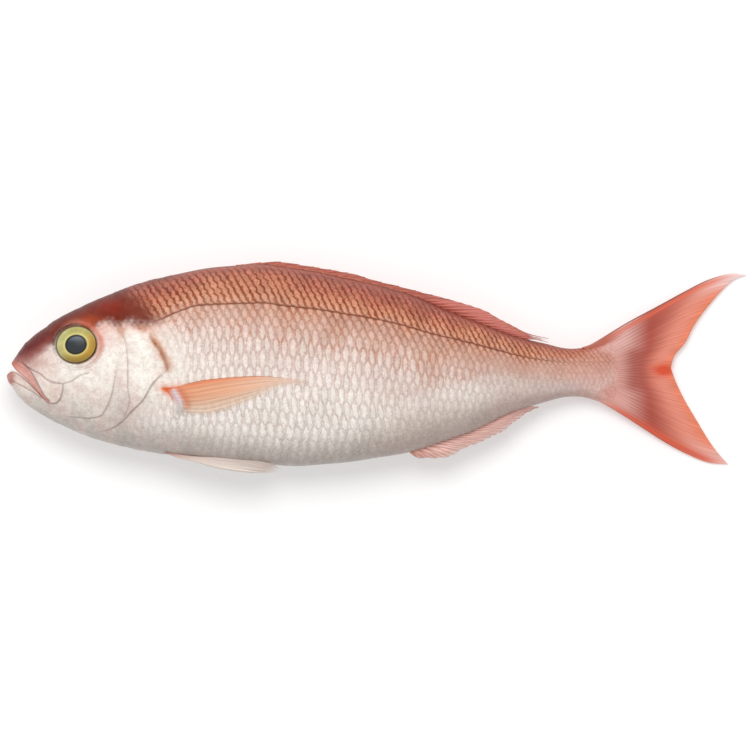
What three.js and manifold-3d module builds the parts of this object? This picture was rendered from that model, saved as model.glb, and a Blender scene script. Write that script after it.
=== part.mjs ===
// A whole raw fish, slender and red-backed, with a forked tail. It lies on its right flank with its
// left flank up. Millimetres. X runs from the jaws to the tail, Y from belly to back, Z up from the table.
// The shape is worked out upright about the fish's middle plane (z = 0), then laid down: the middle plane
// is lifted to its height over the table, the tail droops, and the flank that it lies on is pressed flat.
import * as THREE from "three";
import { mergeVertices } from "three/addons/utils/BufferGeometryUtils.js";
import Module from "manifold-3d";

const wasm = await Module();
wasm.setup();

// Driving dimensions
const totalLength = 420; // lower jaw to the tip of the tail's upper lobe
const trunkEnd = 352; // where the scaled flesh ends, widened over the roots of the tail's rays
const noseRadius = 6;
const lyingHeight = 26.4; // the middle plane over the table, at the trunk
const tailHeight = 1.6; // the middle plane over the table, at the tail's trailing edge
const droopStart = 225;
const droopEnd = 405;
const underFlankShare = 0.94; // the lower flank is pressed to this share of the upper one's thickness
const eyeCentre = { x: 39.8, y: 13.2 };
const eyeWidth = 23.2;
const eyeHeight = 21.4;
const eyeDome = 3.1; // how far the eye stands out of its socket
const eyeDepth = 6;
const eyeSink = 0.5; // the rim of the socket over the eye's widest ring
const eyeGap = 0.35;
const eyeTurnUp = 0.24; // the eye's axis leans towards the back and the jaws, as the flank does there
const eyeTurnForward = 0.2;
const gillCoverLift = 1.5;
const cheekPlateLift = 0.9;
const jawPlateLift = 0.9;
const lipLift = 1.1;
const plateRoot = 2.5; // how deep the foot of a lip or plate lies in the skin
const pectoralLift = 1;
const mouthDepth = 3;
const raysPerLobe = 8;
const finRoot = 2.5; // how deep the fins on the back and behind the vent are rooted
const finTipHalf = 0.45; // half thickness of a fin at its free edge

// Outlines of the trunk, seen from the side
const backLine = smooth([
  [0, -4.5], [0.7, -2.6], [2.2, -1.9], [3.3, 3.2], [5.8, 7.6], [10.9, 14.4], [22.3, 23.6], [34.7, 31.2],
  [64.8, 44.2], [84, 50.4], [109.5, 55.9], [135, 58.4], [157.7, 57.6], [200, 49.7], [231, 40.8], [279.5, 21.5],
  [310.6, 12.3], [322, 11.1], [334, 13.4], [343, 17.2], [trunkEnd, 21.4],
]);
const bellyLine = smooth([
  [0, -4.5], [0.7, -7.2], [2.7, -10.5], [6.9, -16], [12.5, -21.5], [26.8, -30.3], [50, -39.9], [84, -48.2],
  [130.5, -53.1], [165, -55.3], [194.5, -53], [222.8, -48.7], [256.3, -38.8], [288, -24.7], [313.5, -16.9],
  [325, -16.3], [334, -18.4], [343, -22.2], [trunkEnd, -26.4],
]);
// Half of the trunk's thickness along its length, before the nose is rounded
const halfThickness = smooth([
  [0, 7.4], [6, 8.8], [18, 13.6], [40, 20], [70, 26.6], [95, 29.4], [125, 30.2], [160, 29], [200, 25.2],
  [240, 19.6], [290, 12.2], [325, 8.2], [334, 6.2], [343, 3.9], [trunkEnd, 2.2],
]);
// How far the widest line lies above the middle between belly and back, as a share of half the depth
const widestShift = 0.06;
const backKeel = 1.22; // over 1 narrows the section to a keel
const bellyKeel = 0.98;

// Lines of the head and fins, seen from the side
const upperLipTop = line(
  [4, 5.2], [6.3, 4.5], [9.9, 1.9], [12.5, 0.6], [14.4, -1.4], [16.4, -4.9], [19, -8.8], [24.5, -15.4],
);
const upperLipEdge = line(
  [3.2, 2], [5.6, -1.1], [8.6, -3.6], [13.1, -7.5], [17, -11.8], [20.9, -16], [24, -18.7],
);
const jawPlateTop = line(
  [12.5, 0.6], [19, -3.3], [22.9, -6.6], [27.4, -8.4], [30.8, -9], [32.3, -10.8], [31.8, -14.4],
  [30.2, -17.8],
);
const jawPlateLow = line(
  [12.5, 0.3], [16.4, -4.9], [19, -8.8], [22.2, -12.7], [24.2, -17], [25.4, -19.4], [28.8, -19.6],
);
const lowerLipTop = line(
  [0.6, -3.7], [2.2, -2.2], [4.7, -2.5], [8.1, -4.3], [12.6, -8.3], [16.6, -12.6], [23.7, -19.2],
);
const lowerLipLow = line([0.4, -6], [2.2, -7.6], [5.3, -8.9], [12.5, -12.6], [19, -16.5], [23.9, -20]);
const mouthTop = line(
  [-2, 2.4], [3, 1.6], [5.6, -1.1], [8.6, -3.7], [13.1, -7.6], [20.9, -16.1], [23.2, -18.3],
);
const mouthLow = line(
  [-2, -1.7], [3, -2], [5.6, -2.9], [8.6, -4.7], [13.1, -8.5], [20.6, -16.7], [23, -18.7],
);
const cheekRidge = line([52.9, 9.1], [51.7, -2.3], [50, -12.5], [46.1, -19.3], [40.4, -22.7], [30.2, -21.5]);
const cheekPlateEdge = line(
  [64.2, 7.9], [62.2, -2.5], [60.1, -14.2], [56.6, -23.1], [53.2, -26.9], [47.7, -28], [27.1, -26.3],
);
const gillCoverFront = line([66, 24], [68.6, 12], [69, -3], [69, -14], [65.5, -24], [58, -29], [44.3, -33.5]);
const gillCoverEdge = line(
  [79, 21.5], [82.6, 14.4], [87.1, 1.3], [88.7, -3.6], [81.6, -10.6], [74.5, -22.5], [64.9, -31.4],
  [44.3, -37.4],
);
const pectoralTop = line([88.6, -11.4], [96.5, -10.5], [118, -5.9], [142.6, -4.5], [160, -5.9], [172.1, -8]);
const pectoralLow = line(
  [92.5, -15.9], [95.9, -20.4], [101.6, -24.6], [112, -27], [124.3, -24.9], [142.6, -15.1], [158, -10.4],
  [172.1, -8.6],
);
const pelvicTop = line([93.5, -47.4], [109.5, -49.2], [130.5, -51.6], [144.7, -55.2], [152, -58.4]);
const pelvicLow = line(
  [92.5, -49.8], [105.8, -52.4], [118, -55.8], [130.3, -58.1], [142.6, -59], [152, -59.2],
);
const tailTopEdge = line(
  [331, 11.6], [352, 26], [369, 35.1], [385, 43.8], [398, 50.2], [411, 53.8], [totalLength, 52.9],
);
const tailLowEdge = line(
  [331, -15.6], [349, -26.7], [361.2, -34.5], [374.2, -42.7], [386, -48.9], [398, -53.6], [409.3, -54.6],
);
const tailTopTrail = line(
  [376.7, 0.2], [378.9, 7.2], [384.8, 14.3], [389.8, 24], [396, 32.8], [405, 43.4], [412.4, 50],
  [totalLength, 52.9],
);
const tailLowTrail = line(
  [376.7, 0.2], [379.5, -7.7], [384.6, -18.2], [391.6, -30], [398, -40.6], [404, -48.8], [409.3, -54.6],
);

// A cubic through the points, as a function of x
function smooth(points) {
  const slope = points.map((p, i) => {
    const a = points[Math.max(i - 1, 0)];
    const b = points[Math.min(i + 1, points.length - 1)];
    return (b[1] - a[1]) / (b[0] - a[0]);
  });
  return (x) => {
    let i = points.findIndex((p) => p[0] >= x);
    i = i < 0 ? points.length - 1 : Math.max(i, 1);
    const [x0, y0] = points[i - 1];
    const [x1, y1] = points[i];
    const span = x1 - x0;
    const t = THREE.MathUtils.clamp((x - x0) / span, 0, 1);
    const s = 1 - t;
    return (
      y0 * (1 + 2 * t) * s * s + slope[i - 1] * span * t * s * s +
      y1 * (3 - 2 * t) * t * t - slope[i] * span * t * t * s
    );
  };
}

// A curve through points of the side view
function line(...points) {
  return new THREE.SplineCurve(points.map(([x, y]) => new THREE.Vector2(x, y)));
}

// The trunk's half thickness at a length x, with the nose rounded
function thicknessAt(x) {
  const round = x < noseRadius ? Math.sqrt(1 - (1 - x / noseRadius) ** 2) : 1;
  return halfThickness(x) * round;
}

// The height of the widest line of the section at x
function widestAt(x) {
  const back = backLine(x);
  const belly = bellyLine(x);
  return (back + belly) / 2 + (widestShift * (back - belly)) / 2;
}

// How far the skin of a flank lies from the middle plane, at a point of the side view
function flank(x, y) {
  const margin = 0.2; // the ends themselves have no thickness
  const along = THREE.MathUtils.clamp(x, margin, trunkEnd - margin);
  const widest = widestAt(along);
  const edge = y > widest ? backLine(along) : bellyLine(along);
  const keel = y > widest ? backKeel : bellyKeel;
  const share = THREE.MathUtils.clamp((y - widest) / (edge - widest), -1, 1);
  return thicknessAt(along) * Math.pow(1 - share * share, keel / 2);
}

// A closed solid from a geometry, with its faces turned outwards
function solid(geometry) {
  const bare = geometry.index ? geometry.clone() : geometry;
  bare.deleteAttribute("normal");
  bare.deleteAttribute("uv");
  const merged = mergeVertices(bare, 1e-4);
  const corners = Uint32Array.from(merged.index.array);
  const places = Float32Array.from(merged.attributes.position.array);
  const make = () => new wasm.Manifold(new wasm.Mesh({ numProp: 3, vertProperties: places, triVerts: corners }));
  const made = make();
  if (made.volume() > 0) return made;
  for (let i = 0; i < corners.length; i += 3) {
    [corners[i + 1], corners[i + 2]] = [corners[i + 2], corners[i + 1]];
  }
  return make();
}

function geometryOf(made) {
  const { vertProperties, triVerts, numProp, numVert } = made.getMesh();
  const places = new Float32Array(numVert * 3);
  for (let i = 0; i < numVert; i++) {
    places.set(vertProperties.subarray(i * numProp, i * numProp + 3), i * 3);
  }
  const geometry = new THREE.BufferGeometry();
  geometry.setAttribute("position", new THREE.BufferAttribute(places, 3));
  geometry.setIndex(new THREE.BufferAttribute(Uint32Array.from(triVerts), 1));
  return geometry;
}

// Rings of equal count, closed at both ends by a point
function loft(rings, first, last) {
  const count = rings[0].length;
  const points = [first, ...rings.flat(), last];
  const corners = [];
  for (let j = 0; j < count; j++) {
    const next = (j + 1) % count;
    corners.push(0, 1 + next, 1 + j);
    for (let i = 0; i < rings.length - 1; i++) {
      const a = 1 + i * count;
      const b = a + count;
      corners.push(a + j, a + next, b + next, a + j, b + next, b + j);
    }
    const end = 1 + (rings.length - 1) * count;
    corners.push(points.length - 1, end + j, end + next);
  }
  return new THREE.BufferGeometry().setFromPoints(points).setIndex(corners);
}

// A thin body between an outer face (face 1) and an inner face (face 0), each a grid of columns and rows
function slab(columns, rows, place) {
  const points = [];
  for (const face of [0, 1]) {
    for (let i = 0; i <= columns; i++) {
      for (let j = 0; j <= rows; j++) points.push(place(i / columns, j / rows, face));
    }
  }
  const at = (i, j, face) => (face * (columns + 1) + i) * (rows + 1) + j;
  const corners = [];
  const quad = (a, b, c, d) => corners.push(a, b, c, a, c, d);
  for (let i = 0; i < columns; i++) {
    for (let j = 0; j < rows; j++) {
      quad(at(i, j, 1), at(i + 1, j, 1), at(i + 1, j + 1, 1), at(i, j + 1, 1));
      quad(at(i, j, 0), at(i, j + 1, 0), at(i + 1, j + 1, 0), at(i + 1, j, 0));
    }
    quad(at(i, 0, 0), at(i + 1, 0, 0), at(i + 1, 0, 1), at(i, 0, 1));
    quad(at(i + 1, rows, 0), at(i, rows, 0), at(i, rows, 1), at(i + 1, rows, 1));
  }
  for (let j = 0; j < rows; j++) {
    quad(at(0, j + 1, 0), at(0, j, 0), at(0, j, 1), at(0, j + 1, 1));
    quad(at(columns, j, 0), at(columns, j + 1, 0), at(columns, j + 1, 1), at(columns, j, 1));
  }
  return new THREE.BufferGeometry().setFromPoints(points).setIndex(corners);
}

// A slab on the flank between two lines, from its foot below the skin to lift(u, v) above it
function plate(top, low, columns, rows, lift) {
  const deepest = -0.4; // a foot ends just past the middle plane
  return slab(columns, rows, (u, v, face) => {
    const p = top.getPoint(u).lerp(low.getPoint(u), v);
    const skin = flank(p.x, p.y);
    return new THREE.Vector3(p.x, p.y, Math.max(face ? skin + lift(u, v) : skin - plateRoot, deepest));
  });
}

// The same geometry on the other flank
function otherFlank(geometry) {
  return geometry.clone().scale(1, 1, -1);
}

function bothFlanks(geometry) {
  return [solid(geometry), solid(otherFlank(geometry))];
}

// Where the trunk's sections stand: close together at the jaws and in the head, wider apart behind
function trunkSections() {
  const places = [0.35, 1.2, 2.2, 2.8, 3.4, 4.6, 6.5];
  const steps = [[95, 4.6], [300, 10], [345, 6.5]];
  for (const [until, step] of steps) {
    while (places.at(-1) + step < until) places.push(places.at(-1) + step);
  }
  return [...places, trunkEnd - 3.5, trunkEnd];
}

function trunk() {
  const around = 32;
  const jawTip = new THREE.Vector3(0, -4.5, 0);
  const lastPoint = new THREE.Vector3(trunkEnd + 0.6, -2.5, 0);
  const rings = trunkSections().map((x) => {
    const widest = widestAt(x);
    return Array.from({ length: around }, (_, j) => {
      const turn = (j / around) * 2 * Math.PI;
      const high = Math.sin(turn);
      const side = Math.cos(turn);
      const edge = high > 0 ? backLine(x) : bellyLine(x);
      const keel = high > 0 ? backKeel : bellyKeel;
      const y = widest + Math.abs(high) * (edge - widest);
      return new THREE.Vector3(x, y, Math.sign(side) * thicknessAt(x) * Math.pow(Math.abs(side), keel));
    });
  });
  return loft(rings, jawTip, lastPoint);
}

const rounded = (v) => Math.sin(Math.PI * v);

// Lips, jaw plate, cheek plate and gill cover: each rises from the skin and ends in a free edge
function headPlates() {
  return [
    plate(upperLipTop, upperLipEdge, 12, 4, (u, v) => lipLift * (0.35 + 0.65 * rounded(v)) * (1 - 0.6 * u)),
    plate(lowerLipTop, lowerLipLow, 12, 4, (u, v) => lipLift * (0.2 + 0.7 * rounded(v)) * (1 - 0.7 * u)),
    plate(jawPlateTop, jawPlateLow, 10, 3, (u) => jawPlateLift * (0.4 + 0.6 * u)),
    plate(cheekRidge, cheekPlateEdge, 10, 3, (u, v) => cheekPlateLift * v * v),
    plate(gillCoverFront, gillCoverEdge, 14, 4, (u, v) => gillCoverLift * v),
  ];
}

// The cleft between the jaws, cut into each flank and right through at the front
function mouthCleft() {
  const throughUntil = 7;
  const pastMiddle = -0.5;
  const overLips = 4;
  return slab(12, 1, (u, v, face) => {
    const p = mouthTop.getPoint(u).lerp(mouthLow.getPoint(u), v);
    const skin = flank(p.x, p.y);
    const inner = p.x < throughUntil ? pastMiddle : Math.max(skin - mouthDepth, pastMiddle);
    return new THREE.Vector3(p.x, p.y, face ? skin + overLips : inner);
  });
}

// A fin's half thickness: ridges along its rays, thinning towards its free edge
function finHalf(rays, across, along, root, tip) {
  const ridge = Math.abs(Math.cos(rays * Math.PI * across));
  return THREE.MathUtils.lerp(root, tip, along) * (0.6 + 0.4 * ridge);
}

// The tail fin: rays fan out from the end of the trunk to the forked trailing edge
function tailFin() {
  const rootHalf = 2.3;
  const rootMiddle = { x: 342, y: -2 };
  const rootHeight = 13.6; // from its middle to its upper and lower end, which lie further forward
  const rootBow = 11;
  const ripple = 1.2;
  const rootAt = (side) => new THREE.Vector2(rootMiddle.x - rootBow * side * side, rootMiddle.y + rootHeight * side);
  return slab(raysPerLobe * 4, 5, (u, along, face) => {
    const side = u * 2 - 1;
    const reach = Math.abs(side);
    const upper = side > 0;
    const root = rootAt(side);
    const tip = (upper ? tailTopTrail : tailLowTrail).getPoint(reach);
    const edge = (upper ? tailTopEdge : tailLowEdge).getPoint(along);
    const chord = rootAt(upper ? 1 : -1).lerp((upper ? tailTopTrail : tailLowTrail).getPoint(1), along);
    const bow = edge.sub(chord).multiplyScalar(reach ** 3);
    const p = root.lerp(tip, along).add(bow);
    const half = finHalf(raysPerLobe, reach, along, rootHalf, finTipHalf) + 0.5 * reach ** 8 * (1 - along);
    const wave = ripple * Math.sin(3 * side + 0.6) * along * along;
    return new THREE.Vector3(p.x, p.y, wave + (face ? half : -half));
  });
}

// The folded fin on the back: overlapping spines in front, then a soft part whose rays lie backwards
function backFin() {
  const start = 128;
  const spinesEnd = 228;
  const end = 292;
  const spines = 10;
  const toothHeight = 0.9;
  const rootHalf = 1.7;
  const lastTip = 318; // behind this the tips follow the back no further
  const height = smooth([[start, 0.2], [150, 2.2], [190, 2.4], [spinesEnd, 2.6], [252, 5.4], [268, 5.4], [end, 2.2]]);
  const lean = smooth([[start, 2], [spinesEnd, 6], [250, 12], [end, 16]]); // how far a ray's tip lies behind its root
  return slab(44, 3, (u, v, face) => {
    const x = THREE.MathUtils.lerp(start, end, u);
    const spine = x < spinesEnd ? ((x - start) / (spinesEnd - start)) * spines : 0;
    const tooth = x < spinesEnd ? toothHeight * (spine - Math.floor(spine)) * v : 0;
    const tipX = x + lean(x);
    const rootY = backLine(x) - finRoot;
    const tipY = backLine(Math.min(tipX, lastTip)) + height(x) + tooth;
    const half = THREE.MathUtils.lerp(rootHalf, finTipHalf, v);
    return new THREE.Vector3(x + lean(x) * v, THREE.MathUtils.lerp(rootY, tipY, v), face ? half : -half);
  });
}

// The folded fin behind the belly
function ventFin() {
  const start = 228;
  const end = 292;
  const rays = 11;
  const rootHalf = 1.6;
  const height = smooth([[start, 0.6], [236, 5.6], [252, 8], [270, 6.6], [end, 1.4]]);
  const lean = smooth([[start, 3], [250, 9], [end, 12]]);
  return slab(22, 3, (u, v, face) => {
    const x = THREE.MathUtils.lerp(start, end, u);
    const rootY = bellyLine(x) + finRoot;
    const tipY = bellyLine(x + lean(x)) - height(x);
    const half = finHalf(rays, u, v, rootHalf, finTipHalf);
    return new THREE.Vector3(x + lean(x) * v, THREE.MathUtils.lerp(rootY, tipY, v), face ? half : -half);
  });
}

// The pectoral fin lies back on its flank, thick at its fleshy root and thin at its free edge
function pectoralFin() {
  const rays = 3;
  const ridgeHeight = 0.3;
  return plate(pectoralTop, pectoralLow, 14, 6, (u, v) => {
    const ridge = ridgeHeight * Math.abs(Math.cos(rays * Math.PI * v));
    return pectoralLift * (1.6 - 0.8 * u) + ridge;
  });
}

// The belly fins are folded back under the belly, one on each side of the keel
function bellyFin() {
  const standOff = smooth([[90, 5.5], [120, 7], [152, 4.5]]); // from the middle plane
  const spread = 1.5;
  const rays = 4;
  const rootHalf = 1.1;
  return slab(12, 3, (u, v, face) => {
    const p = pelvicTop.getPoint(u).lerp(pelvicLow.getPoint(u), v);
    const half = finHalf(rays, v, u, rootHalf, finTipHalf);
    return new THREE.Vector3(p.x, p.y, standOff(p.x) + spread * v + (face ? half : -half));
  });
}

// The eyeball: a low dome over a deeper bowl. grow makes the socket that it sits in.
function eyeball(grow) {
  const radius = eyeWidth / 2 + grow;
  const steps = 8;
  const around = 26;
  const profile = [];
  for (let i = 0; i <= steps; i++) {
    const turn = (i / steps) * Math.PI - Math.PI / 2;
    const deep = Math.sin(turn) < 0 ? eyeDepth + grow : eyeDome + grow;
    profile.push(new THREE.Vector2(i % steps ? radius * Math.cos(turn) : 0, deep * Math.sin(turn)));
  }
  const geometry = new THREE.LatheGeometry(profile, around).rotateX(Math.PI / 2);
  geometry.scale(1, eyeHeight / eyeWidth, 1).rotateX(-eyeTurnUp).rotateY(-eyeTurnForward);
  return geometry.translate(eyeCentre.x, eyeCentre.y, flank(eyeCentre.x, eyeCentre.y) - eyeSink);
}

// Lays the upright shape down: the lower flank is pressed, the middle plane is lifted and the tail droops
function layDown(geometry) {
  const places = geometry.attributes.position;
  for (let i = 0; i < places.count; i++) {
    const z = places.getZ(i);
    const droop = THREE.MathUtils.smoothstep(places.getX(i), droopStart, droopEnd);
    const height = THREE.MathUtils.lerp(lyingHeight, tailHeight, droop);
    places.setZ(i, height + (z < 0 ? z * underFlankShare : z));
  }
  return geometry;
}

// Everything below the table, taken off so that the fish has a flat spot to rest on
function underTable() {
  const deep = 40;
  const box = new THREE.BoxGeometry(totalLength + 2 * deep, totalLength / 2, deep);
  return solid(box.translate(totalLength / 2, 0, -deep / 2));
}

function wholeBody() {
  let body = solid(trunk());
  for (const made of headPlates().flatMap(bothFlanks)) body = body.add(made);
  for (const cut of bothFlanks(mouthCleft())) body = body.subtract(cut);
  for (const cut of bothFlanks(eyeball(eyeGap))) body = body.subtract(cut);
  const pairs = [pectoralFin(), bellyFin()].flatMap(bothFlanks);
  for (const fin of [solid(tailFin()), solid(backFin()), solid(ventFin()), ...pairs]) body = body.add(fin);
  const laid = solid(layDown(geometryOf(body)));
  return geometryOf(laid.subtract(underTable()));
}

const skin = new THREE.MeshStandardMaterial({ color: 0xd8b3a6, roughness: 0.38, metalness: 0 });
const eye = new THREE.MeshStandardMaterial({ color: 0xbcae58, roughness: 0.12, metalness: 0 });

function part(name, geometry, material) {
  const mesh = new THREE.Mesh(geometry, material);
  mesh.name = name;
  return mesh;
}

const fish = new THREE.Group();
fish.add(
  part("fish_body", wholeBody(), skin),
  part("eye_left", layDown(eyeball(0)), eye),
  part("eye_right", layDown(otherFlank(eyeball(0))), eye),
);
// The otherFlank copy is mirrored, so its faces are turned back outwards
const mirrored = fish.children[2].geometry.index.array;
for (let i = 0; i < mirrored.length; i += 3) {
  [mirrored[i + 1], mirrored[i + 2]] = [mirrored[i + 2], mirrored[i + 1]];
}

// The origin is on the table under the middle of the fish's box
const middle = new THREE.Box3().setFromObject(fish).getCenter(new THREE.Vector3());
for (const mesh of fish.children) mesh.geometry.translate(-middle.x, -middle.y, 0);

export default fish;
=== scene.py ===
import bpy
import numpy as np
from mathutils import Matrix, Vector


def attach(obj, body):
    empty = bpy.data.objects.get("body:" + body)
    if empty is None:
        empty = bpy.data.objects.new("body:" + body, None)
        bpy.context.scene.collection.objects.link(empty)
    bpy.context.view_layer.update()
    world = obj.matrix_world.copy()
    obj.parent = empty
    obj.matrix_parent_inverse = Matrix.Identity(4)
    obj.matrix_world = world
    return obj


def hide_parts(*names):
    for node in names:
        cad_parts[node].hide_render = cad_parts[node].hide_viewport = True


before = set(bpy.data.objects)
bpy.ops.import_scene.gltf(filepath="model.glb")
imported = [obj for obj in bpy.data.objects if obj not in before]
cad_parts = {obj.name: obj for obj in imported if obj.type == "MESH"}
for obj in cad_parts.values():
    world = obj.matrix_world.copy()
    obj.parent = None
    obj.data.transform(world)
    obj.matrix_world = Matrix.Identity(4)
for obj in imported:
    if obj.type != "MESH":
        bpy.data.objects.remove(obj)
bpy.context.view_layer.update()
mm = 0.001

# The fish is worked out upright in millimetres: x from the jaws to the tail, y from belly to back,
# z out of the flank that shows. Then it is laid down on the table, in metres.
fishForm = {
    "middleX": 210.0,  # the side view's point that stands on the frame's origin
    "middleY": 0.985,
    "lyingHeight": 26.4,
    "tailHeight": 1.6,
    "droopStart": 225.0,
    "droopEnd": 405.0,
    "underShare": 0.94,
    "widestShift": 0.06,
    "backKeel": 1.22,
    "bellyKeel": 0.98,
    "trunkEnd": 352.0,
    "noseRound": 6.0,
    "lipStart": 3.2,  # where the upper jaw begins, behind the tip of the lower one
    "mouthCorner": 24.0,
}


# A cubic through the points, its slope at each point taken from its two neighbours
def throughPoints(points):
    px, py = np.array(points, float).T
    before = np.r_[0, np.arange(len(px) - 1)]
    after = np.r_[np.arange(1, len(px)), len(px) - 1]
    slope = (py[after] - py[before]) / (px[after] - px[before])

    def curve(x):
        x = np.clip(x, px[0], px[-1])
        i = np.clip(np.searchsorted(px, x), 1, len(px) - 1)
        span = px[i] - px[i - 1]
        t = (x - px[i - 1]) / span
        s = 1 - t
        start = py[i - 1] * (1 + 2 * t) * s * s + slope[i - 1] * span * t * s * s
        return start + py[i] * (3 - 2 * t) * t * t - slope[i] * span * t * t * s

    return curve


backLine = throughPoints([
    (0, -4.5), (0.7, -2.6), (2.2, -1.9), (3.3, 3.2), (5.8, 7.6), (10.9, 14.4), (22.3, 23.6), (34.7, 31.2),
    (64.8, 44.2), (84, 50.4), (109.5, 55.9), (135, 58.4), (157.7, 57.6), (200, 49.7), (231, 40.8),
    (279.5, 21.5), (310.6, 12.3), (322, 11.1), (334, 13.4), (343, 17.2), (352, 21.4),
])
bellyLine = throughPoints([
    (0, -4.5), (0.7, -7.2), (2.7, -10.5), (6.9, -16), (12.5, -21.5), (26.8, -30.3), (50, -39.9), (84, -48.2),
    (130.5, -53.1), (165, -55.3), (194.5, -53), (222.8, -48.7), (256.3, -38.8), (288, -24.7), (313.5, -16.9),
    (325, -16.3), (334, -18.4), (343, -22.2), (352, -26.4),
])
halfThickness = throughPoints([
    (0, 7.4), (6, 8.8), (18, 13.6), (40, 20), (70, 26.6), (95, 29.4), (125, 30.2), (160, 29), (200, 25.2),
    (240, 19.6), (290, 12.2), (325, 8.2), (334, 6.2), (343, 3.9), (352, 2.2),
])
lateralLine = throughPoints([
    (79.5, 24), (84.6, 26.6), (92.8, 30.1), (102.8, 34.2), (113, 35.9), (126.5, 36.4), (145, 37),
    (157.2, 35.5), (175.6, 33.3), (194.1, 30.3), (206.3, 28.4), (222.8, 24.7), (240.2, 19.7), (257.5, 15.6),
    (274.9, 11), (292.2, 6.7), (303.8, 4.6), (316.3, 3.4), (341.8, 3.4),
])
mouthUpper = throughPoints([
    (3.2, 2), (5.6, -1.1), (8.6, -3.8), (13.1, -7.7), (17, -11.9), (20.9, -16.2), (24, -18.9),
])
mouthLower = throughPoints([
    (0, -4.2), (0.9, -3.1), (3.2, -2), (5.6, -2.5), (8.6, -4.6), (13.1, -8.4), (17, -12.5), (20.9, -16.5),
    (24, -18.9),
])


# 0 at low, 1 at high, with soft ends; low may be the larger one
def smooth(low, high, value):
    t = np.clip((value - low) / (high - low), 0, 1)
    return t * t * (3 - 2 * t)


def bump(value, width):
    return np.exp(-((value / width) ** 2))


# A soft oval spot: 1 at its middle, given with its half sizes along x and y
def spot(x, y, middleX, middleY, wide, high):
    return bump(np.hypot((x - middleX) / wide, (y - middleY) / high), 1)


# A wave from -1 to 1 that is highest at every whole number
def wave(turns):
    return np.cos(2 * np.pi * turns)


# Numbers over a grid: the first from low to high along its columns, the second from 0 to 1 along its rows
def overGrid(low, high, columns, rows):
    first = np.linspace(low, high, columns)[:, None] + np.zeros(rows)
    return first, np.linspace(0, 1, rows)[None, :] + 0 * first


# A uniform cubic through points of the side view, read at any shares of its length
def alongLine(points, share):
    p = np.array(points, float)
    p = np.vstack([p[:1], p, p[-1:]])
    spans = len(p) - 3
    t = np.clip(share, 0, 1) * spans
    i = np.minimum(t.astype(int), spans - 1)
    w = (t - i)[..., None]
    a, b, c, d = (p[i + k] for k in range(4))
    va, vb = (c - a) / 2, (d - b) / 2
    return ((2 * b - 2 * c + va + vb) * w + (3 * c - 3 * b - 2 * va - vb)) * w * w + va * w + b


# The same curve cut into short straight steps
def sideLine(points, count=48):
    return alongLine(points, np.linspace(0, 1, count))


# Distance of each place from a line, its side (above 0 on the left hand, going along) and its share of the
# line's length
def nearLine(x, y, line):
    best = np.full(x.shape, 1e9)
    side = np.zeros(x.shape)
    along = np.zeros(x.shape)
    steps = len(line) - 1
    for k in range(steps):
        ax, ay = line[k]
        dx, dy = line[k + 1] - line[k]
        t = np.clip(((x - ax) * dx + (y - ay) * dy) / (dx * dx + dy * dy + 1e-9), 0, 1)
        gap = np.hypot(x - ax - t * dx, y - ay - t * dy)
        closer = gap < best
        best = np.where(closer, gap, best)
        side = np.where(closer, np.sign(dx * (y - ay) - dy * (x - ax)), side)
        along = np.where(closer, (k + t) / steps, along)
    return best, side, along


# Soft unevenness between -1 and 1: waves of seeded direction and phase, added up
def uneven(x, y, size, seed):
    waves = 9
    fullTurn = 6.28
    dice = np.random.default_rng(seed)
    total = np.zeros(np.broadcast(x, y).shape)
    for turn, phase, scale in dice.uniform((0, 0, 0.6), (fullTurn, fullTurn, 1.5), (waves, 3)):
        total += np.sin((x * np.cos(turn) + y * np.sin(turn)) * fullTurn / (size * scale) + phase)
    return total / waves ** 0.5


# Half the thickness at a station, rounded off at the jaws
def thickness(x):
    start = np.clip(1 - x / fishForm["noseRound"], 0, 1)
    return halfThickness(x) * np.sqrt(1 - start ** 2)


# The height in the side view at which the body is thickest
def widestLine(x):
    back, belly = backLine(x), bellyLine(x)
    return (back + belly) / 2 + fishForm["widestShift"] * (back - belly) / 2


# How far the flank lies from the middle plane at a place of the side view
def flank(x, y):
    x = np.clip(x, 0.2, fishForm["trunkEnd"] - 0.2)
    widest = widestLine(x)
    up = y > widest
    edge = np.where(up, backLine(x), bellyLine(x))
    share = np.clip((y - widest) / (edge - widest), 0, 1)
    return thickness(x) * (1 - share ** 2) ** (np.where(up, fishForm["backKeel"], fishForm["bellyKeel"]) / 2)


# A point of the skin: y goes from the widest line to the outline as the sine of turn, z falls off as a power
# of its cosine. Turns past a quarter are on the lower flank.
def skinPoint(x, turn):
    widest = widestLine(x)
    rise = np.sin(turn)
    edge = np.where(rise > 0, backLine(x), bellyLine(x))
    keel = np.where(rise > 0, fishForm["backKeel"], fishForm["bellyKeel"])
    out = np.cos(turn)
    y = widest + np.abs(rise) * (edge - widest)
    z = np.sign(out) * thickness(x) * np.abs(out) ** keel
    return np.stack([x + 0 * y, y, z], -1)


# The skin's direction outwards, from its slopes along x and along turn
def skinNormal(x, turn):
    dx, dt = 0.06, 0.004
    low = np.maximum(x - dx, 0.05)
    alongX = skinPoint(np.minimum(x + dx, fishForm["trunkEnd"]), turn) - skinPoint(low, turn)
    alongTurn = skinPoint(x, turn + dt) - skinPoint(x, turn - dt)
    normal = np.cross(alongX, alongTurn)
    return normal / (np.linalg.norm(normal, axis=-1, keepdims=True) + 1e-12)


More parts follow.
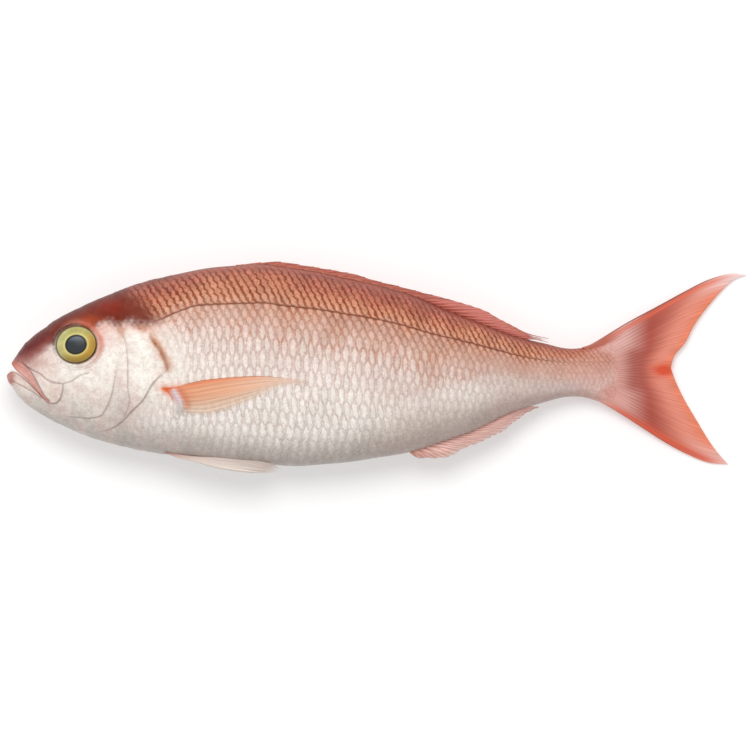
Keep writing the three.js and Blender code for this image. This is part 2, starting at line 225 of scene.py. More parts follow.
# Lays an upright point down: the lower flank is pressed, the middle plane lifted, and the tail droops
def layDown(p):
    z = p[..., 2]
    height = fishForm["lyingHeight"] + (fishForm["tailHeight"] - fishForm["lyingHeight"]) * smooth(
        fishForm["droopStart"], fishForm["droopEnd"], p[..., 0])
    z = height + np.where(z < 0, z * fishForm["underShare"], z)
    z = np.maximum(z, 0)  # the table presses it flat
    laid = np.stack([p[..., 0] - fishForm["middleX"], p[..., 1] - fishForm["middleY"], z], -1)
    return laid * mm


# Quads of a grid whose rows close round, and whose point (i, j) has the number first + i * rows + j
def gridQuads(columns, rows, first=0):
    i = np.arange(columns - 1)[:, None]
    j = np.arange(rows)[None, :]
    after = (j + 1) % rows
    quads = np.stack([i * rows + j, (i + 1) * rows + j, (i + 1) * rows + after, i * rows + after], -1)
    return quads.reshape(-1, 4) + first


# Triangles from one point to a closed loop of others
def fan(middle, loop, flip=False):
    after = np.roll(loop, -1)
    ends = (after, loop) if flip else (loop, after)
    return np.stack([np.full(len(loop), middle), *ends], -1)


# A mesh object from points in metres, its faces, and values for each point: a UV map and named attributes
def makePiece(name, points, faces, material, colours, numbers={}, uv=None, node="fish_body"):
    mesh = bpy.data.meshes.new(name)
    middle = points.mean(0)
    spokes = [points[f] - middle for f in faces]
    volume = sum(np.einsum("ij,ij->", s[:, 0], np.cross(s[:, k], s[:, k + 1]))
                 for s in spokes for k in range(1, s.shape[1] - 1))
    if volume < 0:  # faces point outwards
        faces = [f[:, ::-1] for f in faces]
    sizes = np.concatenate([np.full(len(f), f.shape[1]) for f in faces])
    corners = np.concatenate([f.ravel() for f in faces]).astype(np.int32)
    mesh.vertices.add(len(points))
    mesh.vertices.foreach_set("co", points.astype(np.float32).ravel())
    mesh.loops.add(len(corners))
    mesh.loops.foreach_set("vertex_index", corners)
    mesh.polygons.add(len(sizes))
    mesh.polygons.foreach_set("loop_start", np.r_[0, np.cumsum(sizes)[:-1]].astype(np.int32))
    mesh.update(calc_edges=True)
    if uv is not None:
        mesh.uv_layers.new(name="pattern").data.foreach_set("uv", uv[corners].astype(np.float32).ravel())
    for title, values in colours.items():
        layer = mesh.color_attributes.new(title, "FLOAT_COLOR", "POINT")
        layer.data.foreach_set("color", np.c_[values, np.ones(len(values))].astype(np.float32).ravel())
    for title, values in numbers.items():
        layer = mesh.attributes.new(title, "FLOAT", "POINT")
        layer.data.foreach_set("value", values.astype(np.float32).ravel())
    mesh.validate()
    mesh.shade_smooth()
    mesh.materials.append(material)
    piece = bpy.data.objects.new(name, mesh)
    bpy.context.scene.collection.objects.link(piece)
    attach(piece, "root")
    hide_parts(node)
    print("made", name, len(points), "points")


# A colour given as on a screen, 0 to 255, turned into light
def tone(red, green, blue):
    c = np.array([red, green, blue]) / 255
    return np.where(c < 0.04045, c / 12.92, ((c + 0.055) / 1.055) ** 2.4)


def over(base, mask, colour):
    mask = np.clip(mask, 0, 1)[..., None]
    return base * (1 - mask) + colour * mask


# Coats of colour laid over one another, each with its mask
def coats(paint, layers):
    for mask, colour in layers:
        paint = over(paint, mask, tone(*colour))
    return paint


# Shader helpers: a node's input takes a number, a colour or another node's output
def join(tree, socket, value):
    if isinstance(value, bpy.types.NodeSocket):
        tree.links.new(value, socket)
    else:
        socket.default_value = value


def calc(tree, kind, *values):
    node = tree.nodes.new("ShaderNodeMath")
    node.operation = kind
    for socket, value in zip(node.inputs, values):
        join(tree, socket, value)
    return node.outputs[0]


def times(tree, result, *others):
    for other in others:
        result = calc(tree, "MULTIPLY", result, other)
    return result


def less(tree, first, second):
    return calc(tree, "SUBTRACT", first, second)


def mixColour(tree, share, first, second, blend="MIX"):
    node = tree.nodes.new("ShaderNodeMix")
    node.data_type = "RGBA"
    node.blend_type = blend
    join(tree, node.inputs["Factor"], share)
    join(tree, node.inputs["A"], first)
    join(tree, node.inputs["B"], second)
    return node.outputs["Result"]


# One colour times another
def tinted(tree, first, second):
    return mixColour(tree, 1.0, first, second, "MULTIPLY")


# Smooth change from toLow to toHigh as the value goes from low to high
def spread(tree, value, low, high, toLow=0.0, toHigh=1.0):
    node = tree.nodes.new("ShaderNodeMapRange")
    node.interpolation_type = "SMOOTHSTEP"
    for socket, number in zip(node.inputs, (value, low, high, toLow, toHigh)):
        join(tree, socket, number)
    return node.outputs[0]


def ramp(tree, value, low, high, stops):
    node = tree.nodes.new("ShaderNodeValToRGB")
    points = node.color_ramp.elements
    while len(points) < len(stops):
        points.new(0.5)
    for point, (place, colour) in zip(points, stops):
        point.position = (place - low) / (high - low)
        point.color = (*tone(*colour), 1)
    shifted = calc(tree, "DIVIDE", less(tree, value, low), high - low)
    join(tree, node.inputs[0], shifted)
    return node.outputs[0]


# What the mesh carries under a name: a number, or a colour
def read(tree, title, output="Fac"):
    node = tree.nodes.new("ShaderNodeAttribute")
    node.attribute_name = title
    return node.outputs[output]


# Noise over the finished object, its size in millimetres
def noise(tree, size, detail=2.0):
    place = tree.nodes.new("ShaderNodeTexCoord").outputs["Object"]
    return noiseAt(tree, place, 1 / (size * mm), detail)


def noiseAt(tree, place, scale, detail=3.0):
    node = tree.nodes.new("ShaderNodeTexNoise")
    node.inputs["Scale"].default_value = scale
    node.inputs["Detail"].default_value = detail
    tree.links.new(place, node.inputs["Vector"])
    return node.outputs["Fac"]


def combine(tree, x, y):
    node = tree.nodes.new("ShaderNodeCombineXYZ")
    join(tree, node.inputs[0], x)
    join(tree, node.inputs[1], y)
    return node.outputs[0]


# The two numbers of the UV map that carries the pattern of scales or rays
def readPattern(tree):
    place = tree.nodes.new("ShaderNodeUVMap")
    place.uv_map = "pattern"
    split = tree.nodes.new("ShaderNodeSeparateXYZ")
    tree.links.new(place.outputs[0], split.inputs[0])
    return split.outputs[0], split.outputs[1]


# A shared group of nodes that takes and gives numbers
def newGroup(name, taken, given):
    group = bpy.data.node_groups.new(name, "ShaderNodeTree")
    for titles, way in ((taken, "INPUT"), (given, "OUTPUT")):
        for title in titles:
            group.interface.new_socket(title, in_out=way, socket_type="NodeSocketFloat")
    outputs = group.nodes.new("NodeGroupInput").outputs
    return group, [outputs[title] for title in taken], group.nodes.new("NodeGroupOutput").inputs


def useGroup(tree, group, **values):
    node = tree.nodes.new("ShaderNodeGroup")
    node.node_tree = group
    for title, value in values.items():
        join(tree, node.inputs[title], value)
    return node.outputs


def newMaterial(name, roughness, coat=0.0, coatRoughness=0.1, specular=0.25):
    material = bpy.data.materials.new(name)
    material.use_nodes = True
    tree = material.node_tree
    shader = tree.nodes["Principled BSDF"]
    shader.inputs["Roughness"].default_value = roughness
    shader.inputs["Coat Weight"].default_value = coat
    shader.inputs["Coat Roughness"].default_value = coatRoughness
    shader.inputs["Specular IOR Level"].default_value = specular
    return material, tree, shader


def addRelief(tree, shader, height, depth, strength=1.0):
    node = tree.nodes.new("ShaderNodeBump")
    node.inputs["Distance"].default_value = depth * mm
    node.inputs["Strength"].default_value = strength
    join(tree, node.inputs["Height"], height)
    tree.links.new(node.outputs[0], shader.inputs["Normal"])


# The scales stand in a staggered lattice. u counts their columns towards the tail, v their rows down from the
# lateral line, and every second row is set off by half a column.
scales = {
    "columnPitch": [(80, 4.2), (108, 4.5), (140, 4.95), (200, 4.85), (262, 4.1), (322, 2.9), (352, 2.6)],
    "backPitch": [
        (80, 3.5), (105, 3.8), (140, 4.1), (200, 4.0), (240, 3.8), (290, 3.3), (330, 2.9), (352, 2.7)],
    "rowPitch": [(80, 8.2), (180, 8.1), (262, 6.3), (322, 3.9), (352, 3.4)],
    "halfWidth": 0.27,  # of a scale's bright middle, in columns
    "halfHeight": 0.57,  # in rows
    "leanHeight": 0.3,  # added for each column by which it leans back
    "point": 3.2,  # the power by which it narrows to its ends
    "relief": 0.34,  # millimetres
}
columnPitch = throughPoints(scales["columnPitch"])
backPitch = throughPoints(scales["backPitch"])
rowPitch = throughPoints(scales["rowPitch"])


# How far inside a scale's middle a place is: the middle's half width at that height less the distance from
# its centre line
def scaleInside(u, v, lean):
    best = np.full(u.shape, -1.0)
    for row in (np.floor(v), np.floor(v) + 1):
        dv = v - row
        du = u - row / 2 - lean * dv
        du -= np.round(du)
        high = scales["halfHeight"] + scales["leanHeight"] * np.maximum(lean, 0)
        reach = np.clip(np.abs(dv) / high, 0, 1)
        best = np.maximum(best, scales["halfWidth"] * (1 - reach ** scales["point"]) - np.abs(du))
    return best


def scaleGroup():
    group, (u, v, lean), result = newGroup("scaleLattice", ("Columns", "Rows", "Lean"), ("Inside", "Chance"))
    found = []
    for step in (0, 1):
        row = calc(group, "ADD", calc(group, "FLOOR", v), float(step))
        dv = less(group, v, row)
        du = less(group, less(group, u, times(group, row, 0.5)), times(group, lean, dv))
        column = calc(group, "ROUND", du)
        du = calc(group, "ABSOLUTE", less(group, du, column))
        backward = calc(group, "MAXIMUM", lean, 0.0)
        high = calc(group, "MULTIPLY_ADD", backward, scales["leanHeight"], scales["halfHeight"])
        reach = calc(group, "MINIMUM", calc(group, "DIVIDE", calc(group, "ABSOLUTE", dv), high), 1.0)
        half = less(group, 1.0, calc(group, "POWER", reach, scales["point"]))
        dice = group.nodes.new("ShaderNodeTexWhiteNoise")
        group.links.new(combine(group, column, row), dice.inputs["Vector"])
        found.append((less(group, times(group, half, scales["halfWidth"]), du), dice.outputs["Value"]))
    (insideA, chanceA), (insideB, chanceB) = found
    later = calc(group, "GREATER_THAN", insideB, insideA)
    chance = calc(group, "ADD", times(group, later, chanceB), times(group, less(group, 1.0, later), chanceA))
    join(group, result["Inside"], calc(group, "MAXIMUM", insideA, insideB))
    join(group, result["Chance"], chance)
    return group


scaleLattice = scaleGroup()

skinFinish = {
    "roughness": 0.42,
    "coat": 0.1,
    "coatRoughness": 0.25,
    "relief": 0.22,  # millimetres
    "blotches": 2.4,  # sizes of the noises, in millimetres
    "grains": 0.62,
    "streaks": 1.4,
    "rust": 9.0,
    "patches": 4.0,
    "rustTone": (192, 118, 78),
    "coolTone": (222, 212, 210),
    "lineTone": (122, 54, 26),  # of the lateral line
    # bright middle of a scale by its row, down from the back: rows above the lateral line are below 0. Its
    # whiteness is partly the scales' own silver and partly a painted sheen; the rows past 9 darken as painted
    # shade towards the belly's edge
    "bright": [
        (-5.5, (140, 72, 58)), (-4, (166, 92, 78)), (-2.5, (186, 112, 88)), (-0.7, (207, 145, 115)),
        (0.4, (212, 168, 148)), (1.4, (219, 184, 168)), (2.5, (226, 201, 189)), (3.5, (233, 216, 206)),
        (6, (242, 234, 226)), (8, (242, 236, 229)), (9.6, (227, 219, 211)), (11.2, (203, 194, 186)),
        (12.6, (186, 176, 168)), (14, (178, 167, 160)),
    ],
    # the skin between the scales' middles: partly its own colour, partly painted shade where one scale
    # overlaps the next; its last rows are the same painted shade towards the belly's edge
    "between": [
        (-5.5, (104, 42, 30)), (-4, (120, 48, 38)), (-2.5, (130, 56, 37)), (-0.7, (146, 72, 43)),
        (0.4, (166, 104, 82)), (1.4, (186, 134, 114)), (2.5, (200, 160, 146)), (3.5, (212, 184, 174)),
        (6, (221, 202, 192)), (8, (221, 209, 200)), (9.6, (209, 199, 190)), (11.2, (193, 183, 175)),
        (12.6, (181, 170, 162)), (14, (174, 163, 155)),
    ],
}
rowRange = (-5.5, 14.0)


def skinMaterial():
    material, tree, shader = newMaterial("scaledSkin", skinFinish["roughness"], skinFinish["coat"],
                                         skinFinish["coatRoughness"])
    u, v = readPattern(tree)
    lean = read(tree, "lean")
    lattice = useGroup(tree, scaleLattice, Columns=u, Rows=v, Lean=lean)
    inside, chance = lattice["Inside"], lattice["Chance"]
    bare = read(tree, "bare")
    blotch = noise(tree, skinFinish["blotches"], 3.0)
    fine = noise(tree, skinFinish["grains"], 3.0)
    # the row by which the scales are coloured; near the belly it also carries painted shade
    depth = read(tree, "depth")
    # streaks along the scales' middles, in columns and rows
    across = less(tree, u, times(tree, lean, v))
    fibre = noiseAt(tree, combine(tree, times(tree, across, 6.5), times(tree, v, 3.0)), 1.0)
    onBack = spread(tree, depth, 0.3, -1.2)
    # on the back the scales' middles are wider and run together
    swollen = calc(tree, "MULTIPLY_ADD", onBack, 0.05, inside)
    torn = calc(tree, "ADD", fine, fibre)
    ragged = calc(tree, "MULTIPLY_ADD", less(tree, torn, 1.0), 0.24, swollen)
    middle = spread(tree, ragged, -0.12, 0.1)
    underLine = times(tree, spread(tree, depth, -0.3, 0.6), spread(tree, depth, 3.0, 1.6))
    soften = times(tree, underLine, 0.35)
    middle = calc(tree, "MULTIPLY_ADD", less(tree, 0.5, middle), soften, middle)
    streaks = noise(tree, skinFinish["streaks"], 3.0)
    # a thin darker edge round each scale's middle: painted shade of the scale's rim
    rim = times(tree, spread(tree, ragged, -0.15, -0.05), spread(tree, ragged, -0.05, 0.04, 1.0, 0.0))
    bright = ramp(tree, depth, *rowRange, skinFinish["bright"])
    between = ramp(tree, depth, *rowRange, skinFinish["between"])
    rusty = times(
        tree, spread(tree, noise(tree, skinFinish["rust"]), 0.47, 0.62), spread(tree, depth, 4.2, 2.2),
        spread(tree, depth, -0.6, 0.4, 0.25, 0.45))
    between = mixColour(tree, rusty, between, (*tone(*skinFinish["rustTone"]), 1))
    mixed = mixColour(tree, middle, between, bright)
    cool = times(tree, spread(tree, chance, 0.55, 1.0), spread(tree, depth, 0.0, 3.0),
                 spread(tree, depth, 10.0, 8.0), 0.3)
    mixed = mixColour(tree, cool, mixed, (*tone(*skinFinish["coolTone"]), 1))
    vary = calc(tree, "MULTIPLY_ADD", onBack, 0.1, 0.13)  # one scale is lighter than the next
    hatch = calc(tree, "MULTIPLY_ADD", onBack, 0.1, 0.12)
    broad = calc(tree, "MULTIPLY_ADD", onBack, 0.08, 0.05)
    shade = times(
        tree, calc(tree, "MULTIPLY_ADD", less(tree, chance, 0.5), vary, 1.0),
        spread(tree, blotch, 0.25, 0.75, 0.92, 1.07),
        calc(tree, "MULTIPLY_ADD", spread(tree, torn, 0.66, 1.34, -1.0, 1.0), hatch, 1.0),
        calc(tree, "MULTIPLY_ADD", spread(tree, streaks, 0.3, 0.7, -1.0, 1.0), broad, 1.0),
        less(tree, 1.0, times(tree, rim, 0.05)))
    mixed = tinted(tree, mixed, shade)
    # bare skin is mottled, rosy and silvery by turns
    patches = calc(tree, "MULTIPLY_ADD", noise(tree, skinFinish["patches"]), 0.5, times(tree, streaks, 0.5))
    mottle = mixColour(tree, spread(tree, patches, 0.38, 0.62), (0.9, 0.84, 0.82, 1), (1.06, 1.07, 1.05, 1))
    painted = tinted(tree, read(tree, "paint", "Color"), mottle)
    painted = tinted(tree, painted, spread(tree, fine, 0.3, 0.7, 0.95, 1.04))
    mixed = mixColour(tree, bare, mixed, painted)
    line = times(tree, read(tree, "lateral"), spread(tree, fine, 0.2, 0.6, 0.7, 1.0))
    mixed = mixColour(tree, line, mixed, (*tone(*skinFinish["lineTone"]), 1))
    tree.links.new(mixed, shader.inputs["Base Color"])
    height = times(tree, spread(tree, inside, -0.12, 0.16), less(tree, 1.0, bare))
    height = calc(tree, "ADD", height, times(tree, fine, 0.35))
    addRelief(tree, shader, height, skinFinish["relief"], 0.6)
    rough = calc(tree, "MULTIPLY_ADD", blotch, 0.16, skinFinish["roughness"] - 0.08)
    join(tree, shader.inputs["Roughness"], rough)
    return material


# Lines of the head, in millimetres of the side view
headLines = {
    "lipSeam": sideLine([(7.6, 4.4), (11.8, 0.4), (15.1, -4), (18.3, -10), (22, -16), (25.3, -18.8)]),
    "jawTop": sideLine([
        (6, 4.8), (9.9, 1.9), (14.4, -1.1), (19, -3.3), (22.9, -6.6), (27.4, -8.4), (32, -8.8)]),
    "jawRear": sideLine([
        (32, -8.8), (32.3, -10.4), (31.6, -14.4), (30, -18.3), (27.1, -19.9), (24.2, -19.3)]),
    "cheekFold": sideLine([(32, -8.8), (36.9, -7.5), (41.8, -4.3), (47.2, -2.7)]),
    "lipLow": sideLine([(2.7, -6.9), (5.3, -8.5), (12.5, -12.4), (19, -16.3), (24, -19.4)]),
    "cheekRear": sideLine([
        (64.2, 7.9), (62.2, -2.5), (60.1, -14.2), (56.6, -23.1), (53.2, -26.9), (47.7, -28), (37.4, -27.6),
        (27.1, -26.3)]),
    "innerRear": sideLine([
        (61, 22.6), (65.4, 19.4), (68, 13.3), (69, 3), (69, -10.7), (70, -19), (67.6, -25.8), (63.5, -30.7)]),
    "gillRear": sideLine([
        (79.5, 24.4), (82, 16.7), (87.5, 8.5), (90.9, 0.3), (88.6, -3.2), (82.7, -9.3), (77.9, -17.6),
        (70.4, -25.2), (64.9, -30.7), (58, -34.7), (44.3, -37.5)]),
    "finFold": sideLine([(91, -28.6), (99.3, -29.3), (106, -28.8), (112, -27.6)]),
    "scaleEdge": sideLine([
        (59, 46), (66, 38), (75, 30), (80, 24), (82, 16.7), (87.5, 8.5), (90.9, 0.3), (88.6, -3.2),
        (82.7, -9.3), (77.9, -17.6), (70.4, -25.2), (64.9, -30.7), (58, -36), (50, -44)]),
}
# The edge between the red crown and the pale cheek, from the snout to the nape
redEdge = throughPoints([
    (-1, 3), (3, 1.6), (7.5, 3), (13.2, 5.4), (18.9, 8.8), (24.5, 13), (29, 17.5), (34, 22), (40, 23.4),
    (46, 21.4), (50, 22.8), (54.5, 25.8), (57.5, 26.4), (60.5, 25.6), (64.4, 23.4), (67.5, 24.8),
    (70.5, 25.4), (74, 24.8), (80, 24), (92, 28.6), (100, 32),
])
eyeForm = {
    "x": 39.8,
    "y": 13.2,
    "width": 23.2,
    "height": 21.4,
    "dome": 3.1,
    "depth": 6.0,
    "sink": 0.5,
    "sides": 128,
    "rings": (70, 8, 14),  # on the dome, at its rim and on the bowl
    "turnUp": 0.24,  # the eye's axis leans towards the back and the jaws, as the flank does there
    "turnForward": 0.2,
}


# The eye's own radius at a place: 1 on its rim
def eyeRadius(x, y):
    dx = (x - eyeForm["x"]) / (eyeForm["width"] / 2)
    dy = (y - eyeForm["y"]) / (eyeForm["height"] / 2)
    return np.hypot(dx, dy), np.arctan2(dy, dx)


# Everything that the head's relief and paint share: each line's nearness at each place
def headFields(x, y):
    return {title: nearLine(x, y, line) for title, line in headLines.items()}


# 1 along a line, falling to 0 over a share of it at each end
def endFade(along, ends):
    return smooth(0, ends, along) * smooth(0, ends, 1 - along)


# A plate's free edge: the skin rises towards it on the side below 0, and behind it comes a groove
def ledge(signed, lift, reach, groove, width):
    plate = lift * np.exp(-np.maximum(-signed, 0) / reach) * smooth(0.45, -0.45, signed)
    return plate - groove * bump(signed - 0.5, width)


# Height of the head's relief in millimetres: plates rise towards their free edges and fall off behind them
def headRelief(x, y, near):
    radius, turn = eyeRadius(x, y)
    high = 0.55 * bump(radius - 1.1, 0.07) - 3.2 * smooth(1.0, 0.88, radius)
    high -= 0.4 * bump(radius - 1.23, 0.04) * smooth(0.1, 1, -np.cos(turn - 0.5))
    high += 0.25 * bump(radius - 1.3, 0.05) * smooth(0.1, 1, -np.cos(turn - 0.9))
    for title, form, fade in (
        ("gillRear", (1.3, 9, 0.5, 1.0), (0.12, 0.25)),
        ("cheekRear", (0.8, 6, 0.35, 0.6), (0.3, 0.3)),
        ("innerRear", (0.35, 3, 0.25, 0.5), (0.3, 0.3)),
        ("jawRear", (0.9, 5, 0.45, 0.6), (0.1, 0.01)),
    ):
        gap, side, along = near[title]
        corner = 0.7 * bump(along - 0.36, 0.07) if title == "gillRear" else 0
        faded = smooth(0, fade[0], along) * smooth(0, fade[1], 1 - along) * (1 - corner)
        high += ledge(side * gap, *form) * faded
    for title, depth, width in (("cheekFold", 0.4, 0.6), ("jawTop", 0.5, 0.55), ("finFold", 0.4, 0.6),
                                ("lipSeam", 0.45, 0.5), ("lipLow", 0.5, 0.7)):
        gap, side, along = near[title]
        high -= depth * bump(gap, width) * endFade(along, 0.15)
    onUpper, onLower = lips(x, y)
    swelling = onUpper * smooth(4, 0, np.abs(y - mouthUpper(x)))
    swelling = swelling + onLower * smooth(4, 0, np.abs(y - mouthLower(x)))
    high += 0.8 * swelling * smooth(1, 4, x)
    high -= 0.7 * nostril(x, y)
    high += 0.12 * uneven(x, y, 9, 3) + 0.05 * uneven(x, y, 3, 4)
    return high


# Which places belong to the upper and to the lower jaw, before the mouth's corner
def lips(x, y):
    before = x < fishForm["mouthCorner"] + 1
    return before * (y > mouthUpper(x) - 0.1), before * (y < mouthLower(x) + 0.1)


def nostril(x, y):
    return spot(x, y, 26.4, 15.2, 0.8, 1.3)


# The head's broad colours, laid over one another: pale cheek, rosy snout and red crown, and painted shade
# that greys the head towards its underside
def headPaint(x, y):
    behindCheek = bump((x - 63.5) / 5.5, 1) * smooth(6, -8, y)
    snout = smooth(36, 12, x) * smooth(-12, 4, y)
    # the throat, greyed below as painted shade under the head
    throat = smooth(-28, -46, y) * smooth(30, 60, x)
    pinkish = bump(uneven(x, y, 14, 31) - 1, 0.9)
    behindEye = spot(x, y, 55.5, 19, 4.5, 7)
    soft = 3.2 + 2.8 * smooth(32, 14, x) + 1.6 * smooth(44, 54, x)
    blush = bump(y - redEdge(x) + 1.8, 3.2) * smooth(44, 52, x)
    paint = coats(tone(246, 241, 234), (
        (behindCheek * 0.7, (226, 212, 206)),
        # greyer downwards: painted shade under the head
        (smooth(-4, -22, y - 0.1 * (50 - x)) * 0.75, (222, 212, 205)),
        (smooth(-14, -34, y + 0.25 * (x - 40)) * 0.9, (194, 187, 181)),
        (snout * 0.85, (198, 152, 144)),
        (spot(x, y, 27, -12.5, 5, 5) * 0.6, (222, 188, 176)),
        # greyer towards the throat: painted shade under the head
        (bump((x - 69) / 9, 1) * smooth(-10, -24, y) * 0.75, (198, 186, 180)),
        (throat * 0.8, (188, 179, 174)),
        (pinkish * 0.35, (232, 206, 198)),
        (behindEye * 0.6, (226, 166, 154)),
        (blush * 0.55, (226, 168, 152)),
    ))
    drift = 0.7 * uneven(x, y, 9, 11) + (0.15 + 0.45 * smooth(42, 50, x)) * uneven(x, y, 2.5, 12)
    red = 1 - (1 - smooth(-soft, soft, y - redEdge(x) - 0.9 + drift * smooth(4, 16, x))) ** 2
    rim = backLine(x) - y
    crown = coats(tone(112, 34, 12), (
        (smooth(30, 12, x), (101, 22, 22)),
        (spot(x, y, 58.5, 35, 11, 4.5) * 0.9, (136, 31, 2)),
        (spot(x, y, 48, 27, 7, 3) * 0.75, (174, 72, 34)),
        (smooth(6, 0, np.abs(y - redEdge(x) - 1)) * smooth(34, 18, x) * 0.45, (176, 108, 102)),
        (smooth(6, 0.5, rim) * 0.45, (98, 42, 34)),
        (smooth(62, 76, x) * 0.5, (128, 64, 48)),
    ))
    paint = over(paint, red, crown)
    amber = spot(x, y, 65.5, 20, 2.2, 4.5) + spot(x, y, 77.5, 22.5, 3.5, 1.8)
    return over(paint, amber * 0.5, tone(206, 138, 88))


# Painted shade drawn along the creases: how dark, how wide and how far it fades at their ends
creaseShades = (
    ("cheekRear", 0.45, 0.4, 0.2), ("innerRear", 0.5, 0.36, 0.2), ("jawTop", 0.65, 0.38, 0.015),
    ("jawRear", 0.65, 0.4, 0.004), ("lipSeam", 0.65, 0.36, 0.06), ("lipLow", 0.5, 0.38, 0.06),
    ("cheekFold", 0.5, 0.38, 0.02), ("finFold", 0.55, 0.42, 0.2),
)


# Finer marks over them: the eye's surround, the lips, the nostril's pit painted dark as shade, painted shade
# along the creases, and the gill cover's edge with its painted shadow
def headShadow(x, y, near, paint):
    radius, turn = eyeRadius(x, y)
    blush = bump(radius - 1.18, 0.16) * smooth(-0.3, 0.8, np.cos(turn - 0.6))
    fold = bump(radius - 1.1, 0.07) * smooth(0.2, 0.9, -np.cos(turn + 0.7)) * (0.8 + 0.3 * uneven(x, y, 2, 5))
    beneath = bump(radius - 1.22, 0.05) + bump(radius - 1.33, 0.035)
    onUpper, onLower = lips(x, y)
    gap, side, along = near["lipSeam"]
    band = onUpper * smooth(0.4, -0.3, side * gap) * (along > 0.02)
    gap, side, along = near["lipLow"]
    lowLip = onLower * smooth(-0.3, 0.5, side * gap)
    gap, side, along = near["gillRear"]
    ragged = side * gap - 1.0 + 0.3 * uneven(x, y, 7, 27)
    streak = smooth(0.03, 0.14, along) * smooth(0.4, 0.24, along) * bump(ragged, 2.3)
    shadow = smooth(0.05, 0.12, along) * smooth(0.42, 0.3, along) * bump(side * gap - 0.5, 0.9 - 0.5 * along)
    paint = coats(paint, (
        (blush * 0.75, (204, 112, 88)),
        (fold * 0.95, (72, 42, 32)),
        (beneath * smooth(0.2, 0.9, -np.sin(turn - 0.5)) * 0.4, (176, 146, 138)),
        (bump(radius - 1.0, 0.05) * 0.85, (112, 80, 48)),
        # the nostril's pit painted dark: painted shade
        (nostril(x, y) * 0.8, (96, 58, 50)),
        (band * 0.85, (212, 152, 142)),
        (onUpper * smooth(1.6, 0.1, y - mouthUpper(x)) * 0.6, (196, 116, 104)),
        (smooth(10, 4, x) * bump(y - 2.5, 3.2) * 0.8, (196, 104, 88)),
        (lowLip * 0.9, (238, 218, 208)),
        (onLower * smooth(1.3, 0.1, mouthLower(x) - y) * 0.6, (190, 112, 102)),
        (smooth(6.5, 2.5, x) * onLower * smooth(-11, -8, y) * 0.8, (176, 94, 82)),
        (streak * 0.85, (206, 128, 66)),
        (streak * smooth(0.14, 0.3, along) * 0.8, (198, 146, 122)),
        (shadow * 0.6, (122, 70, 40)),
    ))
    for title, dark, width, ends in creaseShades:
        gap, side, along = near[title]
        paint = over(paint, dark * bump(gap, width) * endFade(along, ends), tone(128, 96, 88))
    # painted shade in the gill cover's crease
    gap, side, along = near["gillRear"]
    crease = smooth(0.38, 0.46, along) * smooth(1, 0.85, along)
    return over(paint, 0.6 * bump(gap, 0.42) * crease, tone(124, 96, 88))


# Where the pectoral fin grows from the flank: an orange corner, a fleshy lobe and a painted shadow beside the
# lobe
finRoot = {"lobe": [(95, -13.4), (96.8, -16.6), (98.2, -20), (98, -23.6)], "lobeWidth": 2.6}
finRootLobe = sideLine(finRoot["lobe"])


def rootLobe(x, y):
    gap, side, along = nearLine(x, y, finRootLobe)
    return smooth(finRoot["lobeWidth"] * 1.5, 0.3, gap * (1.25 - 0.4 * along))


def rootPaint(x, y, paint):
    gap, side, along = nearLine(x, y, sideLine([(88.6, -11.7), (93.6, -11.3), (99.4, -10)]))
    blush = bump(gap, 3.2) * 0.5
    shadow = bump(nearLine(x, y, finRootLobe[:-12] + (3.6, 0))[0], 3.0)
    wedge, wedgeSide, down = nearLine(x, y, sideLine([(90.6, -12.3), (92.6, -14), (94.6, -18), (95, -22)]))
    corner = bump(wedge, 2.2 - 1.1 * smooth(0, 0.6, down)) * smooth(1, 0.6, down)
    topEdge = bump(gap, 0.9) * smooth(1, 0.5, along)
    paint = coats(paint, (
        (blush, (238, 176, 140)),
        (shadow * 0.75, (206, 122, 92)),
        (corner * smooth(1.0, 0.5, down), (232, 108, 48)),
        (corner * smooth(0.5, 1, down) * 0.6, (206, 140, 134)),
        (topEdge, (230, 104, 42)),
    ))
    lobe = rootLobe(x, y)
    paint = over(paint, lobe, over(tone(222, 200, 202), smooth(-18, -23, y), tone(206, 200, 195)))
    mark = np.maximum.reduce([blush, corner, topEdge, shadow * 0.8, lobe])
    return paint, np.clip(mark * 1.2, 0, 1)


# Colour of the tail's root, which flesh and fin share: plain pink sheaths above and below, dark rays between
def tailTone(x, y):
    above = y - lateralLine(x)
    paint = coats(tone(216, 160, 150), (
        (smooth(332, 305, x), (200, 175, 165)),
        (smooth(13, 3, y - bellyLine(x)) * smooth(345, 315, x) * 0.8, (186, 156, 150)),
        (smooth(-14, -5, above) * smooth(345, 325, x) * 0.6, (206, 150, 132)),
        (smooth(0.8, 4.2, above) * smooth(345, 325, x), (186, 114, 94)),
        (smooth(-2, 12, y - 0.35 * (x - 335)) * smooth(320, 340, x), (221, 172, 163)),
        (smooth(4, 1, backLine(x) - y) * smooth(352, 338, x), (190, 104, 88)),
    ))
    core = smooth(345, 357, x) * smooth(15, 8, np.abs(y + 1))
    return over(paint, core * 0.9, tone(172, 98, 86))


# How far the scales have given way to the plain skin of the tail's root
def sheathShare(x, y):
    return smooth(334, 350, x + 9 * smooth(5, 13, np.abs(y + 1)))
